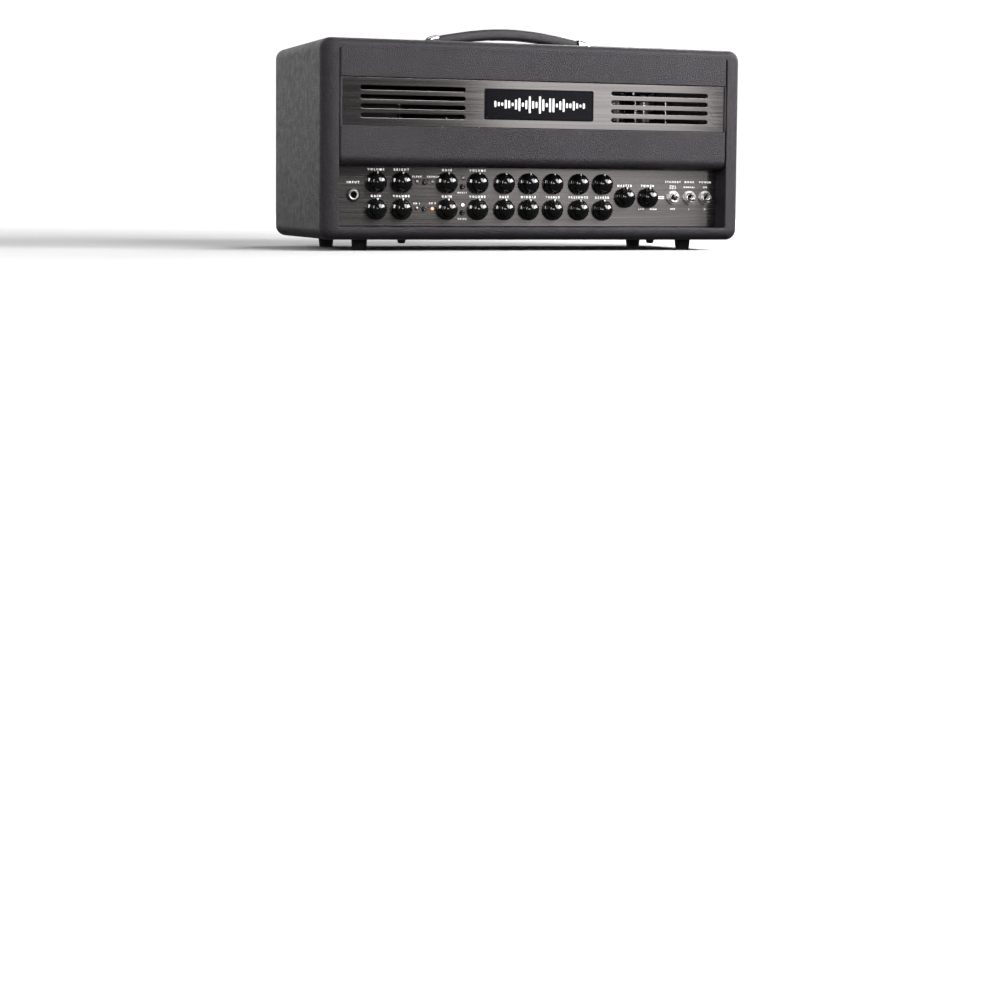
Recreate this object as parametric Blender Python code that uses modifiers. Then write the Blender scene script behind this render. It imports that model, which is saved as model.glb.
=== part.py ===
"""Compact valve guitar amplifier head.

Metres, +Z up. The origin is on the floor under the middle of the cabinet, the width runs
along X and the control side faces -Y. Each piece is one object, named as its node.
"""

import math

import bmesh
import bpy

# ---------------------------------------------------------------- driving dimensions
CABINET_WIDTH = 0.529
CABINET_DEPTH = 0.243
CABINET_HEIGHT = 0.232
CORNER_RADIUS = 0.013
SIDE_WALL = 0.0195
TOP_WALL = 0.012
BOTTOM_WALL = 0.015
FOOT_HEIGHT = 0.013
GAP = 0.0003

SHEET = 0.0015
BOARD = 0.0016

FRONT = -CABINET_DEPTH / 2
BACK = CABINET_DEPTH / 2
CABINET_BOTTOM = FOOT_HEIGHT
CABINET_TOP = CABINET_BOTTOM + CABINET_HEIGHT
INNER_X = CABINET_WIDTH / 2 - SIDE_WALL
INNER_BOTTOM = CABINET_BOTTOM + BOTTOM_WALL
INNER_TOP = CABINET_TOP - TOP_WALL

# front rails and the vent plate between them
RAIL_FACE = FRONT + 0.0005
RAIL_HALF_WIDTH = INNER_X - 0.0005
UPPER_RAIL_DEPTH = 0.018
LOWER_RAIL_DEPTH = 0.0265
LOWER_RAIL_BOTTOM = 0.097
VENT_BOTTOM = 0.1447
VENT_TOP = 0.2002
BULLNOSE_RADIUS = 0.0125
VENT_FACE = FRONT + 0.0022
SLOT_LENGTH = 0.1275
SLOT_HEIGHT = 0.0055
SLOT_CENTRE_X = 0.1558
SLOT_PITCH = 0.0106
SLOT_ROWS = 4
SLOT_TOP_Z = 0.1882
BADGE_SIZE = (0.137, 0.0018, 0.0364)
BADGE_Z = 0.1726

# control panel
PANEL_FACE = FRONT + 0.028
PANEL_BACK = PANEL_FACE + SHEET
PANEL_BOTTOM = 0.0290
PANEL_TOP = 0.1120
KNOB_COLUMNS = (-0.1925, -0.1615, -0.1055, -0.0670, -0.0335, -0.0025, 0.0285, 0.0620, 0.0930)
UPPER_ROW_Z = 0.0797
LOWER_ROW_Z = 0.0487
SINGLE_ROW_Z = 0.0642
MASTER_X = 0.1225
POWER_X = 0.1530
JACK_PLACE = (-0.2200, 0.0650)
TOGGLE_COLUMNS = (0.1870, 0.2090, 0.2305)
TOGGLE_Z = 0.0645
LED_PLACES = (
    (-0.1425, 0.0810), (-0.1233, 0.0810), (-0.1425, 0.0498),
    (-0.1233, 0.0493), (-0.0855, 0.0860), (-0.0855, 0.0540),
)
BUTTON_PLACES = ((-0.1330, 0.0805), (-0.1332, 0.0490), (-0.0862, 0.0755), (-0.0862, 0.0447))

KNOB_RADIUS = 0.0119
KNOB_HEIGHT = 0.0180
SHAFT_RADIUS = 0.0030
POT_RADIUS = 0.0080
POT_FRONT = PANEL_BACK + 0.0025
CONTROL_BOARD_Y = PANEL_BACK + 0.0155
BUTTON_RADIUS = 0.0022
LED_RADIUS = 0.0015
TOGGLE_BUSH_RADIUS = 0.0060
TOGGLE_NUT_RADIUS = 0.0083
TOGGLE_PIVOT_Y = PANEL_FACE - 0.0020
TOGGLE_TILT = math.radians(12)

# chassis and what stands on it
CHASSIS_HALF_WIDTH = 0.2435
CHASSIS_FRONT = PANEL_BACK + GAP
CHASSIS_BACK = BACK - 0.010
CHASSIS_BOTTOM = INNER_BOTTOM + GAP
CHASSIS_TOP = 0.1050
CHASSIS_FLANGE = 0.027
POWER_TUBE_COLUMNS = (0.065, 0.107, 0.149, 0.191)
POWER_TUBE_Y = 0.0065
POWER_TUBE_RADIUS = 0.0165
POWER_TUBE_HEIGHT = 0.098
PREAMP_TUBE_COLUMNS = (-0.090, -0.050)
PREAMP_TUBE_Y = -0.0385
PREAMP_TUBE_RADIUS = 0.0108
PREAMP_TUBE_HEIGHT = 0.052
SOCKET_TOP = CHASSIS_TOP + 0.0028
VALVE_BOARD_Z = 0.0880
POWER_SUPPLY_PLACE = (-0.178, 0.018)
OUTPUT_TRANSFORMER_PLACE = (-0.030, 0.050)

# rear
REAR_JACK_COLUMNS = (-0.060, -0.020, 0.020, 0.060, 0.100)
REAR_JACK_Z = 0.0680
INLET_PLACE = (-0.1850, 0.0680)
GRILLE_BOTTOM = CHASSIS_TOP + 0.0005
GRILLE_TOP = INNER_TOP - GAP
GRILLE_SLOT_LENGTH = 0.100
GRILLE_SLOT_HEIGHT = 0.007
GRILLE_COLUMNS = (-0.177, -0.059, 0.059, 0.177)
GRILLE_ROWS = (0.1150, 0.1285, 0.1420, 0.2100, 0.2235)

# feet, bolts and handle
FOOT_COLUMNS = (-0.208, 0.208)
FOOT_ROWS = (-0.0775, 0.0775)
BOLT_COLUMNS = (-0.157, 0.163)
BOLT_ROWS = (-0.080, 0.087)
BOLT_RADIUS = 0.0025
HANDLE_Y = -0.003
HANDLE_HALF_LENGTH = 0.1305
CAP_MOUTH = 0.0917
CAP_WIDTH = 0.027
CAP_MOUTH_HEIGHT = 0.0148
CAP_END_HEIGHT = 0.0062
CAP_WALL = 0.0015
STRAP_WIDTH = 0.0220
STRAP_SHOULDER = CAP_MOUTH - 0.001
STRAP_END_BOTTOM = 0.0014
STRAP_END_TOP = 0.0138
STRAP_BOTTOM_RISE = 0.0096
STRAP_TOP_RISE = 0.0111
TONGUE_WIDTH = 0.0190
TONGUE_END = 0.1080
TONGUE_THICKNESS = 0.0030

FACING_FRONT = (math.pi / 2, 0, 0)


# ---------------------------------------------------------------- scene and materials
def clear_scene():
    for item in list(bpy.data.objects):
        bpy.data.objects.remove(item)


def new_collection(name):
    collection = bpy.data.collections.new(name)
    bpy.context.scene.collection.children.link(collection)
    return collection


def new_material(name, colour, roughness, metallic=0.0):
    material = bpy.data.materials.new(name)
    material.use_nodes = True
    shader = material.node_tree.nodes["Principled BSDF"]
    shader.inputs["Base Color"].default_value = (*colour, 1.0)
    shader.inputs["Roughness"].default_value = roughness
    shader.inputs["Metallic"].default_value = metallic
    return material


clear_scene()
PARTS = new_collection("guitar_amplifier")
TOOLS = new_collection("shaping_tools")

VINYL = (0.022, 0.022, 0.024)
GUNMETAL = (0.20, 0.19, 0.19)
GLOSS_BLACK = (0.008, 0.008, 0.009)
CHROME = (0.85, 0.85, 0.86)
RUBBER = (0.018, 0.018, 0.018)
STEEL = (0.45, 0.45, 0.46)
CIRCUIT_GREEN = (0.03, 0.14, 0.06)
BLACK_STEEL = (0.03, 0.03, 0.032)
BULB = (0.55, 0.58, 0.60)


# ---------------------------------------------------------------- shape helpers
def place(name, mesh, look, location=(0, 0, 0), rotation=(0, 0, 0)):
    """One named piece with its own material; look is (colour, roughness, metallic)."""
    piece = bpy.data.objects.new(name, mesh)
    PARTS.objects.link(piece)
    piece.location = location
    piece.rotation_euler = rotation
    piece.data.materials.append(new_material(name, *look))
    return piece


def mesh_of(name, draw):
    """A mesh drawn by draw(bm) from Blender's primitives."""
    bm = bmesh.new()
    draw(bm)
    mesh = bpy.data.meshes.new(name)
    bm.to_mesh(mesh)
    bm.free()
    return mesh


def add_block(bm, low, high):
    """A box between two corners; returns its vertices."""
    made = bmesh.ops.create_cube(bm, size=1.0)["verts"]
    for vert in made:
        vert.co = [
            (low[axis] + high[axis]) / 2 + vert.co[axis] * (high[axis] - low[axis])
            for axis in range(3)
        ]
    return made


def add_rod(bm, start, end, radius, sides):
    """A round or many-sided rod between two points on one line along Y or Z."""
    axis = 1 if abs(end[1] - start[1]) > abs(end[2] - start[2]) else 2
    middle = [(start[index] + end[index]) / 2 for index in range(3)]
    made = bmesh.ops.create_cone(
        bm, cap_ends=True, segments=sides, radius1=radius, radius2=radius,
        depth=abs(end[axis] - start[axis]),
    )["verts"]
    for vert in made:
        across, up, along = vert.co
        spread = (up, along, across) if axis == 1 else (across, up, along)
        vert.co = [middle[index] + spread[index] for index in range(3)]


def edges_between(bm, test):
    """Edges whose two ends both pass test(point)."""
    return [edge for edge in bm.edges if all(test(vert.co) for vert in edge.verts)]


def round_edges(bm, edges, radius, segments):
    bmesh.ops.bevel(
        bm, geom=edges, offset=radius, segments=segments, profile=0.5, affect="EDGES"
    )


def shape_with(piece, operation, draw):
    """Cut from, or join to, a piece whatever draw(bm) makes in the piece's own frame."""
    tool = bpy.data.objects.new(f"{piece.name}_{operation.lower()}", mesh_of("tool", draw))
    TOOLS.objects.link(tool)
    tool.parent = piece
    tool.hide_render = True
    tool.display_type = "WIRE"
    modifier = piece.modifiers.new(operation.title(), "BOOLEAN")
    modifier.operation = operation
    modifier.solver = "EXACT"
    modifier.object = tool


def turned(name, profile, sides, look, location, rotation=(0, 0, 0)):
    """A turned piece: profile is (radius, height) from the top, down the outer side."""
    mesh = bpy.data.meshes.new(name)
    points = [(radius, 0, height) for radius, height in profile]
    mesh.from_pydata(points, [(index, index + 1) for index in range(len(points) - 1)], [])
    piece = place(name, mesh, look, location, rotation)
    screw = piece.modifiers.new("Turn", "SCREW")
    screw.steps = sides
    screw.render_steps = sides
    screw.use_merge_vertices = True
    screw.merge_threshold = 0.00001
    screw.use_smooth_shade = True
    return piece


def circle(centre_x, centre_y, radius, points):
    turn = 2 * math.pi / points
    return [
        (centre_x + radius * math.cos(turn * step), centre_y + radius * math.sin(turn * step))
        for step in range(points)
    ]


def slot(centre_x, centre_y, length, height, arc_steps):
    """A slot with round ends."""
    radius = height / 2
    reach = length / 2 - radius
    outline = []
    for side in (1, -1):
        for step in range(arc_steps + 1):
            angle = -math.pi / 2 + math.pi * step / arc_steps
            outline.append(
                (
                    centre_x + side * (reach + radius * math.cos(angle)),
                    centre_y + side * radius * math.sin(angle),
                )
            )
    return outline


def rectangle(left, bottom, right, top):
    return [(left, bottom), (right, bottom), (right, top), (left, top)]


def sheet_mesh(name, outlines, thickness):
    """A flat sheet in the XY plane: the first outline is its edge, the others are holes."""
    curve = bpy.data.curves.new(name, "CURVE")
    curve.dimensions = "2D"
    curve.fill_mode = "BOTH"
    curve.extrude = thickness / 2
    for outline in outlines:
        spline = curve.splines.new("POLY")
        spline.points.add(len(outline) - 1)
        for point, (along, up) in zip(spline.points, outline):
            point.co = (along, up, 0, 1)
        spline.use_cyclic_u = True
    guide = bpy.data.objects.new(name, curve)
    TOOLS.objects.link(guide)
    evaluated = guide.evaluated_get(bpy.context.evaluated_depsgraph_get())
    mesh = bpy.data.meshes.new_from_object(evaluated)
    bpy.data.objects.remove(guide)
    bpy.data.curves.remove(curve)
    bm = bmesh.new()
    bm.from_mesh(mesh)
    bmesh.ops.remove_doubles(bm, verts=bm.verts, dist=0.00001)
    bm.to_mesh(mesh)
    bm.free()
    return mesh


# ---------------------------------------------------------------- cabinet
def make_cabinet_shell():
    """Four-walled sleeve: rounded outside, open at the front and back."""
    half = (CABINET_WIDTH / 2, CABINET_DEPTH / 2, CABINET_HEIGHT / 2)

    def body(bm):
        add_block(bm, [-value for value in half], half)
        round_edges(bm, list(bm.edges), CORNER_RADIUS, 4)

    def tunnel(bm):
        low = (-INNER_X, -CABINET_DEPTH, -half[2] + BOTTOM_WALL)
        high = (INNER_X, CABINET_DEPTH, half[2] - TOP_WALL)
        add_block(bm, low, high)

    def bolt_holes(bm):
        for x in BOLT_COLUMNS:
            for y in BOLT_ROWS:
                start = (x, y, -half[2] - 0.005)
                add_rod(bm, start, (x, y, -half[2] + BOTTOM_WALL + 0.005), BOLT_RADIUS + 0.0007, 10)

    centre = (0, 0, CABINET_BOTTOM + half[2])
    shell = place("cabinet_shell", mesh_of("cabinet_shell", body), (VINYL, 0.6), centre)
    shape_with(shell, "DIFFERENCE", tunnel)
    shape_with(shell, "DIFFERENCE", bolt_holes)


def make_front_rails():
    def upper(bm):
        low = (-RAIL_HALF_WIDTH, 0, 0)
        high = (RAIL_HALF_WIDTH, UPPER_RAIL_DEPTH, INNER_TOP - 0.0005 - VENT_TOP)
        add_block(bm, low, high)
        round_edges(bm, edges_between(bm, lambda point: point.y < 0.001), 0.002, 2)

    def lower(bm):
        height = VENT_BOTTOM - LOWER_RAIL_BOTTOM
        add_block(bm, (-RAIL_HALF_WIDTH, 0, 0), (RAIL_HALF_WIDTH, LOWER_RAIL_DEPTH, height))
        bottom_front = edges_between(bm, lambda point: point.y < 0.001 and point.z < 0.001)
        round_edges(bm, bottom_front, BULLNOSE_RADIUS, 8)
        top_front = edges_between(bm, lambda point: point.y < 0.001 and point.z > height - 0.001)
        round_edges(bm, top_front, 0.002, 2)

    look = (VINYL, 0.6)
    place("front_rail_upper", mesh_of("front_rail_upper", upper), look, (0, RAIL_FACE, VENT_TOP))
    base = (0, RAIL_FACE, LOWER_RAIL_BOTTOM)
    place("front_rail_lower", mesh_of("front_rail_lower", lower), look, base)


def make_vent_plate():
    """Metal strip between the rails with round-ended slots on both sides of the badge."""
    centre_z = (VENT_BOTTOM + VENT_TOP) / 2
    half_height = (VENT_TOP - VENT_BOTTOM) / 2 - GAP
    outlines = [rectangle(-RAIL_HALF_WIDTH, -half_height, RAIL_HALF_WIDTH, half_height)]
    for row in range(SLOT_ROWS):
        up = SLOT_TOP_Z - row * SLOT_PITCH - centre_z
        for side in (-1, 1):
            outlines.append(slot(side * SLOT_CENTRE_X, up, SLOT_LENGTH, SLOT_HEIGHT, 6))
    mesh = sheet_mesh("vent_plate", outlines, SHEET)
    middle = (0, VENT_FACE + SHEET / 2, centre_z)
    place("vent_plate", mesh, (GUNMETAL, 0.35, 1.0), middle, FACING_FRONT)


def make_badge_plate():
    width, depth, height = BADGE_SIZE

    def body(bm):
        add_block(bm, (-width / 2, -depth, -height / 2), (width / 2, 0, height / 2))
        corners = [edge for edge in bm.edges if abs(edge.verts[0].co.y - edge.verts[1].co.y) > 0.001]
        round_edges(bm, corners, 0.002, 3)
        round_edges(bm, edges_between(bm, lambda point: point.y < -depth + 0.0001), 0.0007, 2)

    place(
        "badge_plate", mesh_of("badge_plate", body), (GLOSS_BLACK, 0.12),
        (0, VENT_FACE - GAP, BADGE_Z),
    )


# ---------------------------------------------------------------- controls
def pot_places():
    """Name and place of each rotary control."""
    places = []
    for row, up in (("upper", UPPER_ROW_Z), ("lower", LOWER_ROW_Z)):
        for number, along in enumerate(KNOB_COLUMNS, start=1):
            places.append((f"knob_{row}_{number}", along, up))
    places.append(("knob_master", MASTER_X, SINGLE_ROW_Z))
    places.append(("knob_power", POWER_X, SINGLE_ROW_Z))
    return places


def make_control_panel():
    centre_z = (PANEL_BOTTOM + PANEL_TOP) / 2
    half_height = (PANEL_TOP - PANEL_BOTTOM) / 2
    edge = INNER_X - 0.0005
    outlines = [rectangle(-edge, -half_height, edge, half_height)]
    for _, along, up in pot_places():
        outlines.append(circle(along, up - centre_z, SHAFT_RADIUS + 0.001, 8))
    for along, up in LED_PLACES:
        outlines.append(circle(along, up - centre_z, LED_RADIUS + 0.0006, 6))
    for along, up in BUTTON_PLACES:
        outlines.append(circle(along, up - centre_z, BUTTON_RADIUS + 0.0006, 8))
    for along in TOGGLE_COLUMNS:
        outlines.append(circle(along, TOGGLE_Z - centre_z, TOGGLE_BUSH_RADIUS + 0.0006, 12))
    outlines.append(circle(JACK_PLACE[0], JACK_PLACE[1] - centre_z, 0.0055, 12))
    mesh = sheet_mesh("control_panel", outlines, SHEET)
    middle = (0, PANEL_FACE + SHEET / 2, centre_z)
    place("control_panel", mesh, (GUNMETAL, 0.38, 1.0), middle, FACING_FRONT)


def make_knobs():
    """Domed knobs, each in one piece with its control's shaft, which turns with it."""
    shaft_end = PANEL_FACE - POT_FRONT - 0.0030
    profile = [
        (0, KNOB_HEIGHT),
        (0.0078, KNOB_HEIGHT - 0.0009),
        (0.0098, KNOB_HEIGHT - 0.0034),
        (0.0108, 0.0080),
        (KNOB_RADIUS, 0.0018),
        (KNOB_RADIUS, 0.0005),
        (SHAFT_RADIUS, 0.0005),
        (SHAFT_RADIUS, shaft_end),
        (0, shaft_end),
    ]
    for name, along, up in pot_places():
        turned(name, profile, 14, (GLOSS_BLACK, 0.15), (along, PANEL_FACE, up), FACING_FRONT)


def make_buttons():
    """Push buttons: a cap through the panel, a retaining collar behind it and a stem."""
    profile = [
        (0, 0.0040),
        (BUTTON_RADIUS - 0.0005, 0.0040),
        (BUTTON_RADIUS, 0.0034),
        (BUTTON_RADIUS, -0.0020),
        (BUTTON_RADIUS + 0.0010, -0.0020),
        (BUTTON_RADIUS + 0.0010, -0.0030),
        (0.0012, -0.0030),
        (0.0012, -0.0095),
        (0, -0.0095),
    ]
    for number, (along, up) in enumerate(BUTTON_PLACES, start=1):
        name = f"push_button_{number}"
        turned(name, profile, 12, (BLACK_STEEL, 0.35), (along, PANEL_FACE, up), FACING_FRONT)


def make_toggle_levers():
    """Bat levers, each turning on the ball inside its switch bushing."""
    profile = [
        (0, 0.0120),
        (0.0020, 0.0115),
        (0.0028, 0.0098),
        (0.0023, 0.0050),
        (0.0015, 0.0018),
        (0.0021, 0.0),
        (0.0014, -0.0016),
        (0, -0.0022),
    ]
    tilts = (-TOGGLE_TILT, TOGGLE_TILT, TOGGLE_TILT)
    for number, (along, tilt) in enumerate(zip(TOGGLE_COLUMNS, tilts), start=1):
        pivot = (along, TOGGLE_PIVOT_Y, TOGGLE_Z)
        turned(
            f"toggle_lever_{number}", profile, 12, (CHROME, 0.12, 1.0),
            pivot, (math.pi / 2 + tilt, 0, 0),
        )


def make_toggle_switch_board():
    """Three toggle switch bodies with bushings and hex nuts, on one circuit board."""
    board_y = PANEL_BACK + 0.0245
    middle = (TOGGLE_COLUMNS[1], board_y, TOGGLE_Z)

    def board(bm):
        add_block(bm, (-0.0300, 0, -0.0140), (0.0290, BOARD, 0.0140))

    def switches(bm):
        for along in TOGGLE_COLUMNS:
            x = along - middle[0]
            front = PANEL_BACK + 0.002 - board_y
            add_block(bm, (x - 0.0065, front, -0.0100), (x + 0.0065, 0.0006, 0.0100))

    def bushings(bm):
        for along in TOGGLE_COLUMNS:
            x = along - middle[0]
            add_rod(
                bm, (x, PANEL_BACK + 0.004 - board_y, 0), (x, PANEL_FACE - 0.0055 - board_y, 0),
                TOGGLE_BUSH_RADIUS, 12,
            )

    def nuts(bm):
        for along in TOGGLE_COLUMNS:
            x = along - middle[0]
            add_rod(
                bm, (x, PANEL_FACE - GAP - board_y, 0), (x, PANEL_FACE - 0.0035 - board_y, 0),
                TOGGLE_NUT_RADIUS, 6,
            )

    def bores(bm):
        for along in TOGGLE_COLUMNS:
            x = along - middle[0]
            add_rod(
                bm, (x, PANEL_FACE + 0.0015 - board_y, 0), (x, PANEL_FACE - 0.0080 - board_y, 0),
                0.0040, 12,
            )

    mesh = mesh_of("toggle_switch_board", board)
    piece = place("toggle_switch_board", mesh, (STEEL, 0.3, 1.0), middle)
    shape_with(piece, "UNION", switches)
    shape_with(piece, "UNION", bushings)
    shape_with(piece, "UNION", nuts)
    shape_with(piece, "DIFFERENCE", bores)


def make_control_board():
    """Circuit board behind the panel with its pots, button switches and LEDs."""
    origin_z = (UPPER_ROW_Z + LOWER_ROW_Z) / 2

    def board(bm):
        add_block(bm, (-0.2030, 0, -0.0290), (0.1650, BOARD, 0.0290))

    def bodies(bm):
        rear = 0.0006
        for _, along, up in pot_places():
            z = up - origin_z
            add_rod(bm, (along, rear, z), (along, POT_FRONT - CONTROL_BOARD_Y, z), POT_RADIUS, 8)
        for along, up in BUTTON_PLACES:
            z = up - origin_z
            add_block(bm, (along - 0.003, -0.0045, z - 0.003), (along + 0.003, rear, z + 0.003))
        for along, up in LED_PLACES:
            z = up - origin_z
            tip = PANEL_FACE - 0.0012 - CONTROL_BOARD_Y
            add_rod(bm, (along, rear, z), (along, tip, z), LED_RADIUS, 6)

    def shaft_bores(bm):
        start = POT_FRONT - 0.001 - CONTROL_BOARD_Y
        for _, along, up in pot_places():
            z = up - origin_z
            add_rod(bm, (along, start, z), (along, start + 0.0048, z), SHAFT_RADIUS + 0.0007, 6)

    place_of = (0, CONTROL_BOARD_Y, origin_z)
    piece = place("control_board", mesh_of("control_board", board), (CIRCUIT_GREEN, 0.5), place_of)
    shape_with(piece, "UNION", bodies)
    shape_with(piece, "DIFFERENCE", shaft_bores)


def make_input_jack():
    """Instrument socket: body behind the panel, ring nut and bushing in front, blind bore."""
    centre = (JACK_PLACE[0], PANEL_FACE, JACK_PLACE[1])

    def body(bm):
        add_block(bm, (-0.0090, SHEET + 0.0012, -0.0095), (0.0090, 0.0260, 0.0095))

    def bushing(bm):
        add_rod(bm, (0, 0.004, 0), (0, -0.0036, 0), 0.0049, 20)

    def nut(bm):
        add_rod(bm, (0, -GAP, 0), (0, -0.0024, 0), 0.00815, 20)

    def bore(bm):
        add_rod(bm, (0, 0.0240, 0), (0, -0.0060, 0), 0.00335, 16)

    piece = place("input_jack", mesh_of("input_jack", body), (BLACK_STEEL, 0.4), centre)
    shape_with(piece, "UNION", bushing)
    shape_with(piece, "UNION", nut)
    shape_with(piece, "DIFFERENCE", bore)


# ---------------------------------------------------------------- chassis and electronics
def make_chassis():
    """Folded steel tray turned upside down: top, four sides and inward bottom flanges."""
    middle_y = (CHASSIS_FRONT + CHASSIS_BACK) / 2
    middle_z = (CHASSIS_BOTTOM + CHASSIS_TOP) / 2
    half_depth = (CHASSIS_BACK - CHASSIS_FRONT) / 2
    half_height = (CHASSIS_TOP - CHASSIS_BOTTOM) / 2

    def skin(bm):
        low = (-CHASSIS_HALF_WIDTH, -half_depth, -half_height)
        high = (CHASSIS_HALF_WIDTH, half_depth, half_height)
        add_block(bm, low, high)
        bottom = [face for face in bm.faces if face.normal.z < -0.5]
        bmesh.ops.inset_individual(bm, faces=bottom, thickness=CHASSIS_FLANGE)
        bmesh.ops.delete(bm, geom=bottom, context="FACES")

    def openings(bm):
        window_side = CHASSIS_HALF_WIDTH - 0.004
        add_block(
            bm, (-window_side, -half_depth - 0.01, -half_height + 0.004),
            (window_side, -half_depth + 0.01, half_height - 0.004),
        )
        for along in POWER_TUBE_COLUMNS:
            y = POWER_TUBE_Y - middle_y
            add_rod(bm, (along, y, half_height - 0.01), (along, y, half_height + 0.01), 0.0157, 12)
        for along in PREAMP_TUBE_COLUMNS:
            y = PREAMP_TUBE_Y - middle_y
            add_rod(bm, (along, y, half_height - 0.01), (along, y, half_height + 0.01), 0.0117, 10)
        jack_z = REAR_JACK_Z - middle_z
        for along in REAR_JACK_COLUMNS:
            add_rod(
                bm, (along, half_depth - 0.01, jack_z), (along, half_depth + 0.01, jack_z), 0.0055, 10
            )
        inlet_z = INLET_PLACE[1] - middle_z
        add_block(
            bm, (INLET_PLACE[0] - 0.0149, half_depth - 0.01, inlet_z - 0.0129),
            (INLET_PLACE[0] + 0.0149, half_depth + 0.01, inlet_z + 0.0129),
        )
        for x in BOLT_COLUMNS:
            for y in BOLT_ROWS:
                add_rod(
                    bm, (x, y - middle_y, -half_height - 0.005),
                    (x, y - middle_y, -half_height + 0.005), BOLT_RADIUS + 0.0005, 10,
                )

    piece = place(
        "chassis", mesh_of("chassis", skin), (STEEL, 0.35, 1.0), (0, middle_y, middle_z)
    )
    folded = piece.modifiers.new("Sheet", "SOLIDIFY")
    folded.thickness = SHEET
    folded.offset = -1.0
    folded.use_even_offset = True
    shape_with(piece, "DIFFERENCE", openings)


def make_valve_board():
    """Circuit board under the chassis top, with the valve sockets standing through it."""
    rear_edge = POWER_TUBE_Y + 0.022
    front_edge = PREAMP_TUBE_Y - 0.022

    def board(bm):
        add_block(bm, (-0.115, front_edge, 0), (0.215, rear_edge, BOARD))

    def sockets(bm):
        top = SOCKET_TOP - VALVE_BOARD_Z
        for along in POWER_TUBE_COLUMNS:
            add_rod(bm, (along, POWER_TUBE_Y, 0.0008), (along, POWER_TUBE_Y, top), 0.0145, 12)
        for along in PREAMP_TUBE_COLUMNS:
            add_rod(bm, (along, PREAMP_TUBE_Y, 0.0008), (along, PREAMP_TUBE_Y, top), 0.0105, 10)

    mesh = mesh_of("valve_board", board)
    piece = place("valve_board", mesh, (CIRCUIT_GREEN, 0.5), (0, 0, VALVE_BOARD_Z))
    shape_with(piece, "UNION", sockets)


def dome(radius, top, depth, steps):
    """Quarter-ellipse profile from the axis at top down to radius at top - depth."""
    points = []
    for step in range(steps + 1):
        angle = math.pi / 2 * step / steps
        points.append((radius * math.sin(angle), top - depth + depth * math.cos(angle)))
    return points


def make_valves():
    seat = SOCKET_TOP + GAP
    base_height = 0.024
    profile = dome(POWER_TUBE_RADIUS - 0.0008, POWER_TUBE_HEIGHT, 0.013, 3)
    profile += [
        (POWER_TUBE_RADIUS - 0.0008, base_height + 0.003),
        (POWER_TUBE_RADIUS, base_height),
        (POWER_TUBE_RADIUS, 0.0),
        (0, 0.0),
    ]
    for number, along in enumerate(POWER_TUBE_COLUMNS, start=1):
        spot = (along, POWER_TUBE_Y, seat)
        turned(f"power_tube_{number}", profile, 14, (BULB, 0.08), spot)
    nipple = [(0, PREAMP_TUBE_HEIGHT), (0.0018, PREAMP_TUBE_HEIGHT - 0.003)]
    shoulder = dome(PREAMP_TUBE_RADIUS, PREAMP_TUBE_HEIGHT - 0.0045, 0.007, 3)[1:]
    profile = nipple + shoulder + [(PREAMP_TUBE_RADIUS, 0.0), (0, 0.0)]
    for number, along in enumerate(PREAMP_TUBE_COLUMNS, start=1):
        spot = (along, PREAMP_TUBE_Y, seat)
        turned(f"preamp_tube_{number}", profile, 12, (BULB, 0.08), spot)


def make_transformer(name, spot, size):
    """Laminated core with a rounded bell cover at the front and back, on a foot plate."""
    width, depth, height = size
    bell_depth = depth * 0.27
    core_half = depth / 2 - bell_depth

    def core(bm):
        add_block(bm, (-width / 2, -core_half, 0.0010), (width / 2, core_half, height))

    def foot(bm):
        reach = width / 2 + 0.008
        add_block(bm, (-reach, -core_half - 0.004, 0), (reach, core_half + 0.004, 0.0025))

    def bells(bm):
        for side in (-1, 1):
            inner, outer = sorted((side * (core_half - 0.004), side * depth / 2))
            low = (-width / 2 + 0.006, inner, 0.006)
            high = (width / 2 - 0.006, outer, height - 0.005)
            verts = add_block(bm, low, high)
            faces = {face for vert in verts for face in vert.link_faces}
            outer_face = [face for face in faces if face.normal.y * side > 0.5]
            edges = [edge for face in outer_face for edge in face.edges]
            round_edges(bm, edges, 0.008, 3)

    mesh = mesh_of(name, core)
    piece = place(name, mesh, (BLACK_STEEL, 0.4, 0.6), (*spot, CHASSIS_TOP + GAP))
    shape_with(piece, "UNION", foot)
    shape_with(piece, "UNION", bells)


def make_rear_jack_board():
    """Five sockets on one board, with bushings and hex nuts through the chassis back."""
    board_y = CHASSIS_BACK - 0.0230

    def board(bm):
        add_block(bm, (-0.0750, 0, -0.0150), (0.1150, BOARD, 0.0150))

    def bodies(bm):
        for along in REAR_JACK_COLUMNS:
            front = CHASSIS_BACK - SHEET - 0.0008 - board_y
            add_block(bm, (along - 0.0085, 0.0008, -0.0085), (along + 0.0085, front, 0.0085))

    def bushings(bm):
        for along in REAR_JACK_COLUMNS:
            add_rod(
                bm, (along, CHASSIS_BACK - 0.004 - board_y, 0),
                (along, CHASSIS_BACK + 0.0040 - board_y, 0), 0.0049, 12,
            )

    def nuts(bm):
        for along in REAR_JACK_COLUMNS:
            add_rod(
                bm, (along, CHASSIS_BACK + GAP - board_y, 0),
                (along, CHASSIS_BACK + 0.0026 - board_y, 0), 0.0078, 6,
            )

    def bores(bm):
        for along in REAR_JACK_COLUMNS:
            add_rod(
                bm, (along, 0.0040, 0), (along, CHASSIS_BACK + 0.008 - board_y, 0), 0.00335, 10
            )

    mesh = mesh_of("rear_jack_board", board)
    place_of = (0, board_y, REAR_JACK_Z)
    piece = place("rear_jack_board", mesh, (BLACK_STEEL, 0.4), place_of)
    shape_with(piece, "UNION", bodies)
    shape_with(piece, "UNION", bushings)
    shape_with(piece, "UNION", nuts)
    shape_with(piece, "DIFFERENCE", bores)


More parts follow.
